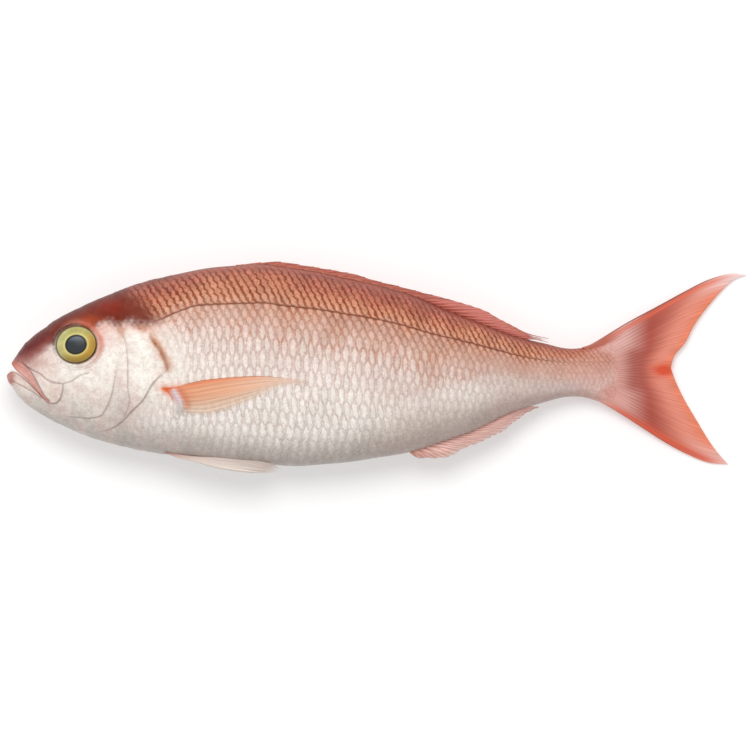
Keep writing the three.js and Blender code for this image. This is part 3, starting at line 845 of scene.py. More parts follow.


# Numbers that steer the scales: u, v, the lean of their middles, and the row by which they are coloured,
# which near the belly also carries painted shade
def scalePlaces(x, y, girth):
    lengths = np.linspace(60, fishForm["trunkEnd"], 600)
    middles = (lengths[1:] + lengths[:-1]) / 2
    counted = [np.r_[0, np.cumsum(np.diff(lengths) / pitch(middles))] for pitch in (columnPitch, backPitch)]
    v = -girth / rowPitch(x)
    # columns lean back above the lateral line and forward at the belly
    bend = -0.07 * np.minimum(v - 1.5, 0) - 0.2 * np.maximum(v - 6.5, 0)
    u = np.where(v < 0, np.interp(x, lengths, counted[1]), np.interp(x, lengths, counted[0])) + bend
    lean = 0.28 - 0.16 * smooth(-0.6, 0.6, v) - 0.12 * smooth(0.6, 3.5, v) - 0.25 * smooth(7, 11, v)
    towardTail = smooth(190, 255, x)
    towardHead = smooth(165, 100, x)
    slower = 1 - 0.3 * towardTail + 0.7 * smooth(280, 320, x)
    depth = np.where(v > 0, v * slower + 0.8 * towardHead, v * (1 + 0.15 * towardTail))
    depth = depth + 0.35 * towardHead + 0.22 * uneven(x, y, 22, 17)
    depth -= (1.4 * bump((x - 214) / 45, 1) + 0.8 * smooth(125, 100, x)) * smooth(0, -2, v)
    # towards the belly's edge the row is pushed past the real ones, so the ramps darken the scales there:
    # painted shade where the flank turns under; behind x 235 the belly rows darken a little more
    overBelly = y - bellyLine(x)
    span = np.minimum(43.4, 0.6 * (lateralLine(x) - bellyLine(x)))
    bellyShade = 2.0 * smooth(38, 20, overBelly) + 1.6 * bump((overBelly - 28) / 9, 1)
    belly = 14 - 14 * overBelly / span + bellyShade * smooth(165, 245, x) * smooth(310, 285, x)
    belly += 0.8 * smooth(235, 275, x)
    depth = np.maximum(np.minimum(depth, 7), belly)
    u = u + 0.05 * uneven(x, y, 14, 18) + (0.02 + 0.06 * smooth(0.8, -0.6, v)) * uneven(x, y, 4, 19)
    v = v + 0.7 * np.minimum(v - 1.8, 0)  # rows are closer on the back
    v = v + 0.05 * uneven(x, y, 16, 20)
    return u, v, lean, depth


# One flank of the skin over stations x and turns from belly to back, with all that its material reads
def flankGrid(x, turns, under=False):
    x = np.broadcast_to(x[:, None], turns.shape)
    base = skinPoint(x, turns)
    normal = skinNormal(x, turns)
    y = base[..., 1]
    steps = np.linalg.norm(np.diff(base, axis=1), axis=-1)
    level = lateralLine(x)
    passed = np.clip((level[:, 1:] - y[:, :-1]) / (np.diff(y, axis=1) + 1e-9), 0, 1)
    start = (steps * passed).sum(1, keepdims=True)
    girth = np.c_[np.zeros(len(x)), np.cumsum(steps, axis=1)] - start
    u, v, lean, depth = scalePlaces(x, y, girth)
    near = headFields(x, y)
    gap, side, along = near["scaleEdge"]
    behind = side * gap + 0.8 * uneven(x, y, 5, 21)
    onFlank = smooth(0, 24, behind) * 0.8 + smooth(-0.5, 1, behind) * 0.2
    bare = 1 - np.where(y > 26, smooth(1, 13, behind), onFlank)
    paint, root = rootPaint(x, y, headShadow(x, y, near, headPaint(x, y)))
    bare = np.maximum(bare, root)
    paint = over(paint, smooth(185, 195, x), tailTone(x, y))
    paler = 0.64 * smooth(238, 292, x) * smooth(-0.5, -7, y - lateralLine(x)) + 0.5 * smooth(290, 325, x)
    lower = smooth(190, 235, x) * smooth(292, 262, x) * smooth(-22, -36, y - lateralLine(x))
    paler = np.maximum(paler, 0.32 * lower)
    bare = np.maximum.reduce([bare, sheathShare(x, y), np.minimum(paler, 0.66)])
    underRim = backLine(x) - y
    rimZone = smooth(4.6, 0.8, underRim) * smooth(60, 90, x) * smooth(330, 300, x)
    paint = coats(paint, (
        (rimZone * smooth(88, 100, x), (170, 92, 76)),
        (rimZone * smooth(180, 225, x), (148, 74, 62)),
        (smooth(1.5, 0.2, underRim) * 0.6, (104, 62, 52)),
    ))
    bare = np.maximum(bare, rimZone * 0.75)
    throat = smooth(24, 10, y - bellyLine(x)) * smooth(150, 95, x)
    bare = np.maximum(bare, throat * 0.55)
    edge = smooth(3, 14, y - bellyLine(x)) * smooth(1.5, 6.5, underRim) * smooth(352, 290, x)
    relief = scales["relief"] * (smooth(-0.1, 0.16, scaleInside(u, v, lean)) - 0.5)
    high = relief * (1 - bare) * edge + headRelief(x, y, near) * smooth(100, 92, x)
    high += 1.5 * rootLobe(x, y)
    high -= 0.25 * bump(girth, 0.5) * smooth(80, 90, x) * smooth(345, 330, x)
    high += 0.25 * uneven(x, y, 40, 8) * smooth(20, 60, x) * smooth(330, 300, x)
    high *= smooth(0.3, 2.5, x)
    base[..., 2] *= 1 - 0.75 * smooth(337, 352, x)
    points = base + normal * high[..., None]
    if under:
        points = points * (1, 1, -1)
    lateral = 0.95 * bump(girth + 0.12 * uneven(x, y, 8, 22), 0.6 + 0.12 * uneven(x, y, 5, 23))
    lateral = lateral * smooth(80, 90, x) * smooth(330, 275, x)
    return {
        "points": points, "uv": np.stack([u, v], -1), "lean": lean, "bare": bare, "paint": paint,
        "lateral": lateral, "depth": depth,
    }


# The turn of the line that parts upper and lower rows: along the mouth, then back along the flank
def partingTurn(x, level):
    widest = widestLine(x)
    edge = np.where(level > widest, backLine(x), bellyLine(x))
    share = np.clip((level - widest) / (edge - widest), 0, 1)
    return np.arcsin(share) * np.sign(level - widest)


def partingLevel(x):
    corner = mouthUpper(fishForm["mouthCorner"])
    return corner + (-12 - corner) * smooth(fishForm["mouthCorner"], 80, x)


skinRows = {"lowerLeft": 78, "upperLeft": 142, "lowerRight": 34, "upperRight": 56}
skinColumns = {"jaws": 62, "head": 128, "trunk": 296}
skinSeam = 92.0  # the head and trunk pieces share this station, under the pectoral fin's root


def between(low, high, count):
    share = np.linspace(0, 1, count)
    return low[:, None] + (high - low)[:, None] * share


titles = ("points", "uv", "lean", "bare", "paint", "lateral", "depth")


# Full rings of skin over stations x, as one closed loop of rows: up the left flank and down the right one
def fullRings(x):
    part = partingTurn(x, partingLevel(x))
    quarter = np.full(len(x), np.pi / 2)
    left = flankGrid(x, np.c_[between(-quarter, part, skinRows["lowerLeft"] + 1)[:, :-1],
                              between(part, quarter, skinRows["upperLeft"] + 1)])
    right = flankGrid(x, np.c_[between(-quarter, part, skinRows["lowerRight"] + 1)[:, :-1],
                               between(part, quarter, skinRows["upperRight"] + 1)], under=True)
    return {t: np.concatenate([left[t], right[t][:, -2:0:-1]], 1) for t in titles}


# One jaw before the mouth's corner: its outer skin from the lip round the outline to the other lip, and the
# inside of the mouth straight across
def jawRings(x, upper):
    lip = partingTurn(x, mouthUpper(x) if upper else mouthLower(x))
    quarter = np.full(len(x), np.pi / 2)
    ends = (lip, quarter) if upper else (-quarter, lip)
    jaw = "upper" if upper else "lower"
    left = flankGrid(x, between(*ends, skinRows[jaw + "Left"] + 1))
    right = flankGrid(x, between(*ends, skinRows[jaw + "Right"] + 1), under=True)
    flip = slice(None, None, -1)
    first, second = (left, right) if upper else (right, left)
    ring = {}
    across = np.linspace(0, 1, 12)[1:-1]
    for t in titles:
        one = first[t] if upper else first[t][:, flip]
        two = second[t][:, flip][:, 1:] if upper else second[t][:, 1:]
        loop = np.concatenate([one, two], 1)
        shape = (1, -1) + (1,) * (loop.ndim - 2)
        share = across.reshape(shape)
        inner = loop[:, -1:] * (1 - share) + loop[:, :1] * share
        # the inside of the mouth is painted dark red: its own red, darkened as painted shade in the cleft
        if t == "paint":
            inner = inner * 0 + tone(96, 44, 40)
        if t == "bare":
            inner = inner * 0 + 1
        ring[t] = np.concatenate([loop, inner], 1)
    if upper:
        tip = np.clip(1 - (x - fishForm["lipStart"]) / 4, 0, 1)
        ring["points"][..., 2] *= np.sqrt(1 - tip ** 2)[:, None]
    return ring


# Joins grids into one mesh, welding the points that two grids share
def weld(parts):
    points = np.concatenate([p["points"].reshape(-1, 3) for p, _ in parts])
    key = np.round(points / 0.002).astype(np.int64)
    _, first, where = np.unique(key, axis=0, return_index=True, return_inverse=True)
    where = where.ravel()
    faces = []
    start = 0
    for p, made in parts:
        for f in made:
            faces.append(where[f + start])
        start += p["points"].size // 3
    kept = []
    for f in faces:
        shared = (f == np.roll(f, 1, axis=1)).any(1)
        kept.append(f[~shared])
        folded = f[shared]
        if len(folded) and folded.shape[1] == 4:  # a quad with two equal corners is a triangle
            keep = folded != np.roll(folded, 1, axis=1)
            good = keep.sum(1) == 3
            kept.append(folded[good][keep[good]].reshape(-1, 3))
    values = {}
    for t in titles:
        values[t] = np.concatenate([p[t].reshape(p["points"].size // 3, -1) for p, _ in parts])[first]
    return values, [f for f in kept if len(f)]


# A ring of skin closed at one end by a fan to its middle
def addTip(ring, column, flip=False):
    columns, rows = ring["points"].shape[:2]
    flat = {t: np.concatenate([ring[t].reshape(columns * rows, -1), ring[t][column].mean(0).reshape(1, -1)])
            for t in titles}
    return flat, [gridQuads(columns, rows), fan(columns * rows, column * rows + np.arange(rows), flip)]


# A flat wall with its own corners across a ring, so that the skin's shading isn't bent round its edge
def wall(values, faces, ring, column):
    rows = ring["points"].shape[1]
    start = len(values["points"])
    whole = {}
    for t in titles:
        edge = ring[t][column].reshape(rows, -1)
        whole[t] = np.concatenate([values[t].reshape(start, -1), edge, edge.mean(0, keepdims=True)])
    return whole, faces + [fan(start + rows, start + np.arange(rows), column != 0)]


# Stations along x, closer together at the low end where ease is above 1
def stations(low, high, count, ease=1.0):
    return low + (high - low) * np.linspace(0, 1, count) ** ease


# Two pieces: both jaws with the head, and the trunk, each closed by a wall where they meet
def makeSkin(material):
    corner = fishForm["mouthCorner"]
    upper = jawRings(stations(fishForm["lipStart"] + 0.02, corner, skinColumns["jaws"], 1.35), True)
    lower = jawRings(stations(0.03, corner, skinColumns["jaws"], 1.35), False)
    head = fullRings(stations(corner, skinSeam, skinColumns["head"]))
    trunk = fullRings(stations(skinSeam, fishForm["trunkEnd"], skinColumns["trunk"], 0.98))
    parts = [addTip(upper, 0), addTip(lower, 0), (head, [gridQuads(*head["points"].shape[:2])])]
    finish("head_skin", *wall(*weld(parts), head, -1), material)
    parts = [addTip(trunk, skinColumns["trunk"] - 1, flip=True)]
    finish("trunk_skin", *wall(*weld(parts), trunk, 0), material)


# A piece of skin with all that its material reads
def finish(name, values, faces, material):
    numbers = {t: values[t].ravel() for t in ("lean", "bare", "lateral", "depth")}
    makePiece(name, layDown(values["points"]), faces, material, {"paint": values["paint"]}, numbers,
              values["uv"])


makeSkin(skinMaterial())


# The eye is a low clear dome over a deeper bowl, worked out about its own axis, then turned as the flank
# slopes
def eyePlaces(radius, turn, front):
    half = np.array([eyeForm["width"], eyeForm["height"]]) / 2
    out = np.sqrt(np.clip(1 - radius ** 2, 0, 1))
    high = eyeForm["dome"] * out if front else -eyeForm["depth"] * out
    x = half[0] * radius * np.cos(turn)
    y = half[1] * radius * np.sin(turn)
    if front:
        high = high - 0.25 * bump(radius - 0.92, 0.04)  # a shallow groove between iris and rim
    a, b = eyeForm["turnUp"], eyeForm["turnForward"]
    y, high = y * np.cos(a) + high * np.sin(a), high * np.cos(a) - y * np.sin(a)
    x, high = x * np.cos(b) - high * np.sin(b), high * np.cos(b) + x * np.sin(b)
    centre = flank(np.array(eyeForm["x"]), np.array(eyeForm["y"])) - eyeForm["sink"]
    return np.stack([x + eyeForm["x"], y + eyeForm["y"], high + centre], -1)


# The eye's colours by distance from its middle and by side: slate pupil with a painted highlight over its
# upper part, black rim, pale ring, yellow iris
def eyePaint(radius, turn):
    x, y = radius * np.cos(turn), radius * np.sin(turn)
    # the dome leans, so its middle is moved back under the photo's
    radius = np.hypot(x - 0.055 * (1 - radius), y + 0.11 * (1 - radius))
    dice = 0.5 + 0.5 * uneven(turn * 9, radius * 3, 4, 41)
    iris = coats(tone(192, 182, 110), (
        (smooth(-0.3, 0.8, x * 0.8 - y * 0.7), (190, 146, 44)),
        (smooth(0.1, 0.9, y - 0.35 * x) * 0.6, (166, 158, 84)),
        (smooth(0.3, 0.9, -x + 0.2 * y) * 0.6, (206, 204, 142)),
        (smooth(0.4, 0.95, -y) * 0.55, (140, 118, 48)),
        (dice * smooth(0.55, 0.7, radius) * 0.22, (150, 128, 50)),
        (bump(radius - 0.6, 0.05) * 0.6, (222, 214, 138)),
    ))
    for ring in (0.79, 0.87):
        iris = over(iris, bump(radius - ring, 0.012) * smooth(-0.6, 0.5, x - y) * 0.55, tone(120, 92, 34))
    iris = over(iris, smooth(0.93, 0.985, radius) * 0.9, tone(70, 52, 34))
    pupil = coats(tone(38, 43, 48), (
        # a painted highlight: the pupil lightens towards its top
        (smooth(0.02, 0.42, y) * 0.9, (104, 115, 124)),
        (smooth(0.41, 0.49, radius), (16, 17, 18)),
    ))
    return over(pupil, smooth(0.53, 0.558, radius), iris)


def eyeMaterial():
    material, tree, shader = newMaterial("clearEye", 0.3, 0.8, 0.16)
    streaks = noise(tree, 0.5, 3.0)
    painted = tinted(tree, read(tree, "paint", "Color"), spread(tree, streaks, 0.3, 0.7, 0.93, 1.06))
    tree.links.new(painted, shader.inputs["Base Color"])
    addRelief(tree, shader, streaks, 0.05, 0.2)
    return material


def makeEyes(material):
    around = np.linspace(0, 2 * np.pi, eyeForm["sides"] + 1)[:-1][None, :]
    onDome, atRim, onBowl = eyeForm["rings"]
    rim = np.sin(np.linspace(np.arcsin(0.965), np.pi / 2, atRim))
    front = np.r_[np.linspace(0.012, 0.96, onDome), rim][:, None] + 0 * around
    back = np.sin(np.linspace(np.pi / 2, 0.03, onBowl))[1:, None] + 0 * around
    turns = [around + 0 * r for r in (front, back)]
    points = np.concatenate([eyePlaces(front, turns[0], True), eyePlaces(back, turns[1], False)])
    paint = np.concatenate([eyePaint(front, turns[0]), eyePaint(back, turns[1])])
    columns, rows = points.shape[:2]
    middle = np.zeros(1)
    tips = [eyePlaces(middle, middle, front) for front in (True, False)]
    flat = np.concatenate([points.reshape(-1, 3), *tips])
    paint = np.concatenate([paint.reshape(-1, 3), paint[0, :1], paint[-1, :1]])
    loop = np.arange(rows)
    last = columns * rows
    faces = [gridQuads(columns, rows), fan(last, loop), fan(last + 1, last - rows + loop, flip=True)]
    for name, node, side in (("left_eye", "eye_left", 1), ("right_eye", "eye_right", -1)):
        makePiece(name, layDown(flat * (1, 1, side)), faces, material, {"paint": paint}, node=node)


makeEyes(eyeMaterial())


# A thin closed body between two faces, each a grid of the same size: their rims are joined all round
def shell(front, back):
    columns, rows = front.shape[:2]
    ring = np.concatenate([front, back[:, ::-1]], 1).reshape(-1, front.shape[-1])
    j = np.arange(rows - 1)
    cap = np.stack([j, j + 1, 2 * rows - 2 - j, 2 * rows - 1 - j], -1)
    far = cap[:, ::-1] + (columns - 1) * 2 * rows
    return ring, [gridQuads(columns, 2 * rows), cap, far]


# Rays of a fin: across counts the rays, along runs from root to free edge, where each ray splits in two
def rayGroup():
    group, (across, along), result = newGroup("finRays", ("Across", "Along"), ("Web", "Streak"))
    single = calc(group, "COSINE", times(group, across, 2 * np.pi))
    double = calc(group, "COSINE", times(group, across, 4 * np.pi))
    split = spread(group, along, 0.35, 0.75)
    join(group, result["Web"], spread(group, mixColour(group, split, single, double), 0.1, -0.9))
    place = combine(group, times(group, across, 3.0), times(group, along, 2.5))
    join(group, result["Streak"], noiseAt(group, place, 1.0))
    return group


finRays = rayGroup()


def finMaterial(name, lineTone, lineShare, streakDark):
    material, tree, shader = newMaterial(name, 0.42, 0.1, 0.25)
    across, along = readPattern(tree)
    rays = useGroup(tree, finRays, Across=across, Along=along)
    streak = rays["Streak"]
    dark = times(tree, rays["Web"], read(tree, "lines"))
    shade = spread(tree, streak, 0.25, 0.75, 1.0 - streakDark, 1.0 + streakDark)
    painted = tinted(tree, read(tree, "paint", "Color"), shade)
    painted = mixColour(tree, times(tree, dark, lineShare), painted, (*tone(*lineTone), 1))
    tree.links.new(painted, shader.inputs["Base Color"])
    cover = read(tree, "cover")
    thin = calc(tree, "MULTIPLY_ADD", streak, 0.5, less(tree, cover, 0.25))
    thin = calc(tree, "MAXIMUM", thin, calc(tree, "MULTIPLY_ADD", cover, 2.0, -1.0))
    tree.links.new(spread(tree, thin, 0.0, 1.0), shader.inputs["Alpha"])
    addRelief(tree, shader, less(tree, times(tree, streak, 0.4), dark), 0.15, 0.6)
    return material


# A fin from its grids: front and back face, UV in rays and along, colours, and how solid it is
def makeFin(name, front, back, across, along, paint, cover, lines, material, more=()):
    layers = np.dstack([front, across, along, paint, cover, lines])
    values, faces = shell(layers, np.dstack([back, layers[..., 3:]]))
    for extra, extraFaces in more:
        faces += [f + len(values) for f in extraFaces]
        values = np.concatenate([values, extra])
    makePiece(name, layDown(values[:, :3]), faces, material, {"paint": values[:, 5:8]},
              {"cover": values[:, 8], "lines": values[:, 9]}, values[:, 3:5])


tailForm = {
    "grid": (261, 110),  # points from lobe to lobe and from root to trailing edge
    "rays": 17,  # in each lobe
    "rootX": 342.0,  # the root's middle, its bow forward at top and bottom, and its half height
    "rootBow": 16.0,
    "rootHeight": 13.6,
    "axis": -2.0,
    "topEdge": [
        (326, 11.8), (331, 13.5), (337.5, 17.2), (352, 26), (369, 35.1), (385, 43.8), (398, 50.2),
        (411, 53.8), (420, 52.9)],
    "lowEdge": [
        (326, -15.7), (336, -19.2), (349, -26.7), (361.2, -34.5), (374.2, -42.7), (386, -48.9),
        (398, -53.6), (409.3, -54.6)],
    "topTrail": [
        (376.7, 0.2), (378.9, 7.2), (384.8, 14.3), (389.8, 24), (396, 32.8), (405, 43.4), (412.4, 50),
        (420, 52.9)],
    "lowTrail": [
        (376.7, 0.2), (379.5, -7.7), (384.6, -18.2), (391.6, -30), (398, -40.6), (404, -48.8),
        (409.3, -54.6)],
}


# The tail's point for a side from -1 to 1 and a share from root to trailing edge: a straight ray, bowed
# towards the leading edge by the cube of the side
def tailPlace(side, along):
    reach = np.abs(side)
    rise, axis = tailForm["rootHeight"], tailForm["axis"]
    root = np.stack([tailForm["rootX"] - tailForm["rootBow"] * side ** 2, axis + rise * side], -1)
    corner = tailForm["rootX"] - tailForm["rootBow"]
    upper = (side > 0)[..., None]
    tip = np.where(upper, alongLine(tailForm["topTrail"], reach), alongLine(tailForm["lowTrail"], reach))
    edge = np.where(upper, alongLine(tailForm["topEdge"], along), alongLine(tailForm["lowEdge"], along))
    rootEnd = np.where(upper, (corner, axis + rise), (corner, axis - rise))
    lastTip = np.where(upper, tailForm["topTrail"][-1], tailForm["lowTrail"][-1])
    share = along[..., None]
    chord = rootEnd * (1 - share) + lastTip * share
    return root * (1 - share) + tip * share + (edge - chord) * reach[..., None] ** 3


def makeTail(material):
    side, along = overGrid(-1, 1, *tailForm["grid"])
    p = tailPlace(side, along)
    reach = np.abs(side)
    ray = reach * tailForm["rays"]
    split = smooth(0.35, 0.75, along)
    ridge = 0.5 + 0.5 * (wave(ray) * (1 - split) + wave(2 * ray) * split)
    sheath = smooth(0.3, 0.12, along) * smooth(0.5, 0.75, reach)
    ridge += (1 - ridge) * sheath
    half = (2.1 - 1.75 * along ** 0.6) * (0.82 + 0.18 * ridge) * smooth(1.0, 0.985, reach) + 0.12
    half += 0.5 * bump(reach - 0.96, 0.05) * (1 - along)
    half *= smooth(1.0, 0.985, along) * 0.85 + 0.15
    sway = 1.2 * np.sin(3 * side + 0.6) * along ** 2
    front = np.dstack([p, sway + half])
    back = np.dstack([p, sway - half])
    paint = coats(tone(174, 82, 69), (
        (smooth(0.46, 0.82, along), (230, 143, 122)),
        (smooth(0.48, 0.16, along) * smooth(1.0, 0.7, reach) * 0.75, (166, 83, 70)),
        (sheath * 0.85, (228, 166, 155)),
    ))
    paint = over(paint, smooth(366, 350, p[..., 0]), tailTone(p[..., 0], p[..., 1]))
    tip = smooth(0.66, 0.94, along) * smooth(0.66, 0.92, reach)
    lowBand = bump(reach - 0.95, 0.09) * smooth(0.08, 0.32, along) * smooth(1.0, 0.82, along) * (side < 0)
    topBand = bump(reach - 0.9, 0.06) * smooth(0.14, 0.4, along) * smooth(0.98, 0.8, along) * (side > 0)
    fork = spot(p[..., 0], p[..., 1], 372.6, -1.1, 6.2, 3.6)
    atRoot = smooth(346, 328, p[..., 0])
    leading = smooth(0.965, 0.99, reach) * (side > 0) * smooth(0.9, 0.7, along) * smooth(328, 350, p[..., 0])
    paint = coats(paint, (
        (smooth(0.84, 0.96, along) * smooth(0.95, 0.7, reach) * 0.5, (243, 128, 84)),
        (tip * np.where(side > 0, 0.95, 0.45), (242, 216, 212)),
        (lowBand * 0.85, (214, 92, 64)),
        (topBand * 0.7, (235, 112, 86)),
        (np.minimum(fork * 1.3, 1) * 0.85, (218, 70, 28)),
        (atRoot * (side > 0) * 0.8, (184, 116, 98)),
        (atRoot * (side < 0) * 0.8, (200, 152, 144)),
        (leading * 0.85, (96, 54, 46)),
    ))
    lines = smooth(348, 358, p[..., 0]) * (1 - 0.78 * smooth(0.2, 0.6, along))
    lines = lines * smooth(1.0, 0.9, reach) * (1 - sheath)
    makeFin("tail_fin", front, back, ray, along, paint, np.ones_like(along), lines, material)


# The folded back fin and the fin behind the vent, seen from the side: where they grow, their tips, how far
# the rays lean back, and the distance from ray to ray
finForm = {
    "backSpan": (128.0, 288.0),
    "backGrid": (330, 26),
    "backRay": 4.0,
    "spines": 11,
    "spineLean": 25.0,
    "ventSpan": (226.0, 292.0),
    "ventGrid": (180, 28),
    "ventRay": 3.0,
    "backTop": [
        (134.8, 59), (144.9, 59.9), (154.8, 60.2), (169.5, 58), (177.5, 56.7), (188.6, 54.8), (200.2, 52.4),
        (206.4, 50.2), (222.8, 46.2), (234.4, 43.1), (247.1, 39.9), (263.3, 35.3), (272, 32.1),
        (278.4, 28.3), (286.4, 24.2), (294.6, 19.9), (307.5, 15.6)],
    "backLean": [(128, 5), (200, 13), (228, 19), (250, 25), (272, 24), (288, 19)],
    "ventLow": [(226, -49), (228.5, -48.9), (232.5, -50.9), (244.4, -50.9), (252.4, -49.3), (256.3, -46.9),
                (268.2, -41.8), (280.3, -36.2), (288.2, -30.2), (294.6, -25.4), (301.7, -22)],
    "ventLean": [(226, 5), (236, 18), (250, 25), (270, 23), (292, 10)],
}
backTop = throughPoints(finForm["backTop"])
ventLow = throughPoints(finForm["ventLow"])


# Round spines along paths, each a row of points with its own radii, with what a fin's points carry
def spines(paths, radii, paint):
    count, steps = paths.shape[:2]
    sides = 8
    turn = np.linspace(0, 2 * np.pi, sides + 1)[:-1, None]
    along = np.gradient(paths, axis=1)
    along /= np.linalg.norm(along, axis=-1, keepdims=True)
    up = np.cross(along, (0, 0, 1.0))
    across = np.cross(along, up)
    ring = np.cos(turn) * up[:, :, None] + np.sin(turn) * across[:, :, None]
    flat = (paths[:, :, None] + ring * radii[..., None, None]).reshape(-1, 3)
    faces = [gridQuads(steps, sides, first=k * steps * sides) for k in range(count)]
    caps = np.arange(count)[:, None] * steps * sides + np.arange(sides)
    faces += [caps, caps[:, ::-1] + (steps - 1) * sides]
    colours = np.broadcast_to(paint, (count, steps, sides, 3)).reshape(-1, 3)
    nothing, full = np.zeros(len(flat)), np.ones(len(flat))
    return np.c_[flat, nothing, nothing, colours, full, nothing], faces


def makeBackFin(material):
    start, end = finForm["backSpan"]
    x, v = overGrid(start, end, *finForm["backGrid"])
    lean = throughPoints(finForm["backLean"])(x)
    tipX = x + lean
    soft = smooth(222, 236, x)
    ray = (x - start) / finForm["backRay"]
    tooth = 0.3 * (1 - soft) * (np.modf((x - start) / 10)[0] - 0.5)
    ragged = 0.12 * soft * wave(ray) * smooth(0.8, 1, v)
    tipY = np.maximum(backTop(tipX) + tooth, backLine(np.minimum(tipX, 318)) + 0.1)
    rootY = backLine(x) - 2.2
    y = rootY + (tipY - rootY) * v + ragged
    half = (1.5 - 1.15 * v) * (0.8 + 0.2 * wave(ray)) * smooth(1, 0.93, v) + 0.06
    half *= smooth(start - 1, start + 6, x) * 0.9 + 0.1
    px = x + lean * v
    front = np.dstack([px, y, half])
    back = np.dstack([px, y, -half])
    paint = coats(tone(200, 116, 103), (
        ((1 - soft) * 0.8, (188, 108, 94)),
        (soft * smooth(0.3, 0.8, v) * 0.85, (224, 140, 128)),
        # darker towards the root: painted shade near the body
        (smooth(0.4, 0.15, v) * 0.7, (158, 74, 58)),
        (smooth(0.95, 0.985, v) * (1 - 0.7 * soft) * 0.8, (104, 54, 44)),
    ))
    cover = 1 - 0.15 * smooth(0.7, 1, v) * soft - 0.62 * smooth(292, 299, px)
    lines = 0.4 + 1.1 * soft
    # spines folded back over one another, and two long last rays with a stray one
    root = np.linspace(start + 2, 226, finForm["spines"])[:, None]
    step = np.linspace(0, 1, 14)[None, :]
    reach = finForm["spineLean"]
    sx = root + reach * step
    sy = (backLine(root) - 1.2) * (1 - step) + (backTop(root + reach) + 0.15) * step
    sy = np.maximum(sy, backLine(sx) - 0.2)
    sz = 0.9 - 0.5 * step + 0 * root
    shade = over(tone(196, 120, 100), (step * 0.8)[..., None], tone(150, 76, 62))
    folded = spines(np.dstack([sx, sy, sz]), (0.62 - 0.5 * step) + 0 * root, shade)
    ends = np.array([[(284, 25), (295, 19.6), (307.3, 16.7)], [(284, 21.6), (296, 17.4), (307, 14.7)],
                     [(284, 23.2), (294, 18.8), (303, 16.6)]])
    strands = np.stack([sideLine(e, 14) for e in ends])
    strands = np.dstack([strands, 0.1 + 0 * strands[..., :1]])
    hair = spines(strands, np.linspace(0.42, 0.12, 14)[None, :] + np.zeros((3, 1)), tone(190, 112, 98))
    makeFin("back_fin", front, back, ray, v, paint, cover, lines + 0 * x, material, [folded, hair])


def makeVentFin(material):
    start, end = finForm["ventSpan"]
    x, v = overGrid(start, end, *finForm["ventGrid"])
    lean = throughPoints(finForm["ventLean"])(x)
    tipX = x + lean
    ray = (x - start) / finForm["ventRay"]
    rootY = bellyLine(x) + 2.2
    tipY = np.minimum(ventLow(tipX), bellyLine(np.minimum(tipX, 318)) - 0.3)
    y = rootY + (tipY - rootY) * v + (0.3 * wave(ray) + 0.25 * np.sin(1.7 * ray)) * smooth(0.75, 1, v)
    half = (1.5 - 1.2 * v) * (0.75 + 0.25 * wave(ray)) * smooth(1, 0.93, v) + 0.06
    px = x + lean * v
    front = np.dstack([px, y, half])
    back = np.dstack([px, y, -half])
    paint = coats(tone(235, 195, 186), (
        (smooth(0.45, 0.1, v) * 0.6, (186, 146, 136)),
        (smooth(0.5, 1, v) * 0.5, (238, 200, 191)),
        (smooth(236, 226, x) * 0.6, (196, 132, 118)),
    ))
    cover = 0.92 - 0.4 * smooth(0.5, 1, v)
    makeFin("vent_fin", front, back, ray, v, paint, cover, np.full(v.shape, 1.7), material)


pectoral = {
    "grid": (150, 64),
    "top": [(92.4, -11.6), (97, -10.5), (104.5, -8.3), (118, -5.9), (142.6, -4.5), (160, -5.9), (172.1, -8)],
    "low": [
        (98.6, -22.6), (101, -25.4), (107.5, -26.6), (117, -26.3), (132, -21.7), (146, -15.4), (158, -10.8),
        (172.1, -8.6)],
    "rays": 8,
}


def makePectoral(material, side, hand):
    u, v = overGrid(0, 1, *pectoral["grid"])
    top, low = alongLine(pectoral["top"], u), alongLine(pectoral["low"], u)
    p = top * (1 - v[..., None]) + low * v[..., None]
    ray = v * pectoral["rays"]
    edge = np.minimum(smooth(0, 0.03, v), smooth(0, 0.03, 1 - v)) * smooth(0, 0.03, 1 - u)
    ridge = 0.5 + 0.5 * wave(ray)
    lift = (0.5 + 0.9 * smooth(0, 0.12, u) - 0.9 * u + 0.4 * bump(v, 0.12) * (1 - u)) * (0.85 + 0.15 * ridge)
    lift = lift + 1.1 * rootLobe(p[..., 0], p[..., 1])
    skinZ = flank(p[..., 0], p[..., 1])
    front = np.dstack([p, skinZ - 0.5 + (lift + 0.5) * (0.25 + 0.75 * edge)])
    back = np.dstack([p, skinZ - 0.9])
    if side < 0:  # the fin under the fish lies between it and the table
        deepest = fishForm["lyingHeight"] / fishForm["underShare"]
        front[..., 2] = np.minimum(front[..., 2], deepest)
        back[..., 2] = np.minimum(back[..., 2], deepest - 0.7)
    paint = coats(tone(232, 175, 141), (
        (smooth(0.6, 0.1, u) * smooth(0.8, 0.1, v) * 0.8, (230, 146, 106)),
        (smooth(0.4, 0.9, v) * 0.85, (252, 226, 200)),
        (bump(v - 0.06, 0.08) * smooth(0.9, 0.5, u) * 0.7, (234, 136, 92)),
        (smooth(0.5, 0.9, u) * 0.75, (255, 232, 214)),
        (smooth(0.03, 0.012, v) * 0.75 * smooth(1, 0.75, u), (150, 78, 48)),
    ))
    paint, root = rootPaint(p[..., 0], p[..., 1], paint)
    cover = 0.98 - 0.42 * smooth(0.25, 0.9, v) - 0.5 * smooth(0.5, 1, u) - 0.4 * smooth(0.86, 1, v)
    cover = np.maximum(cover, root * smooth(0, 0.02, u))
    lines = 0.7 * (1 - root) * (1 - 0.7 * smooth(0.5, 0.85, u))
    flip = (1, 1, side)
    makeFin("pectoral_fin_" + hand, front * flip, back * flip, ray, u, paint, np.clip(cover, 0.05, 1), lines,
            material)


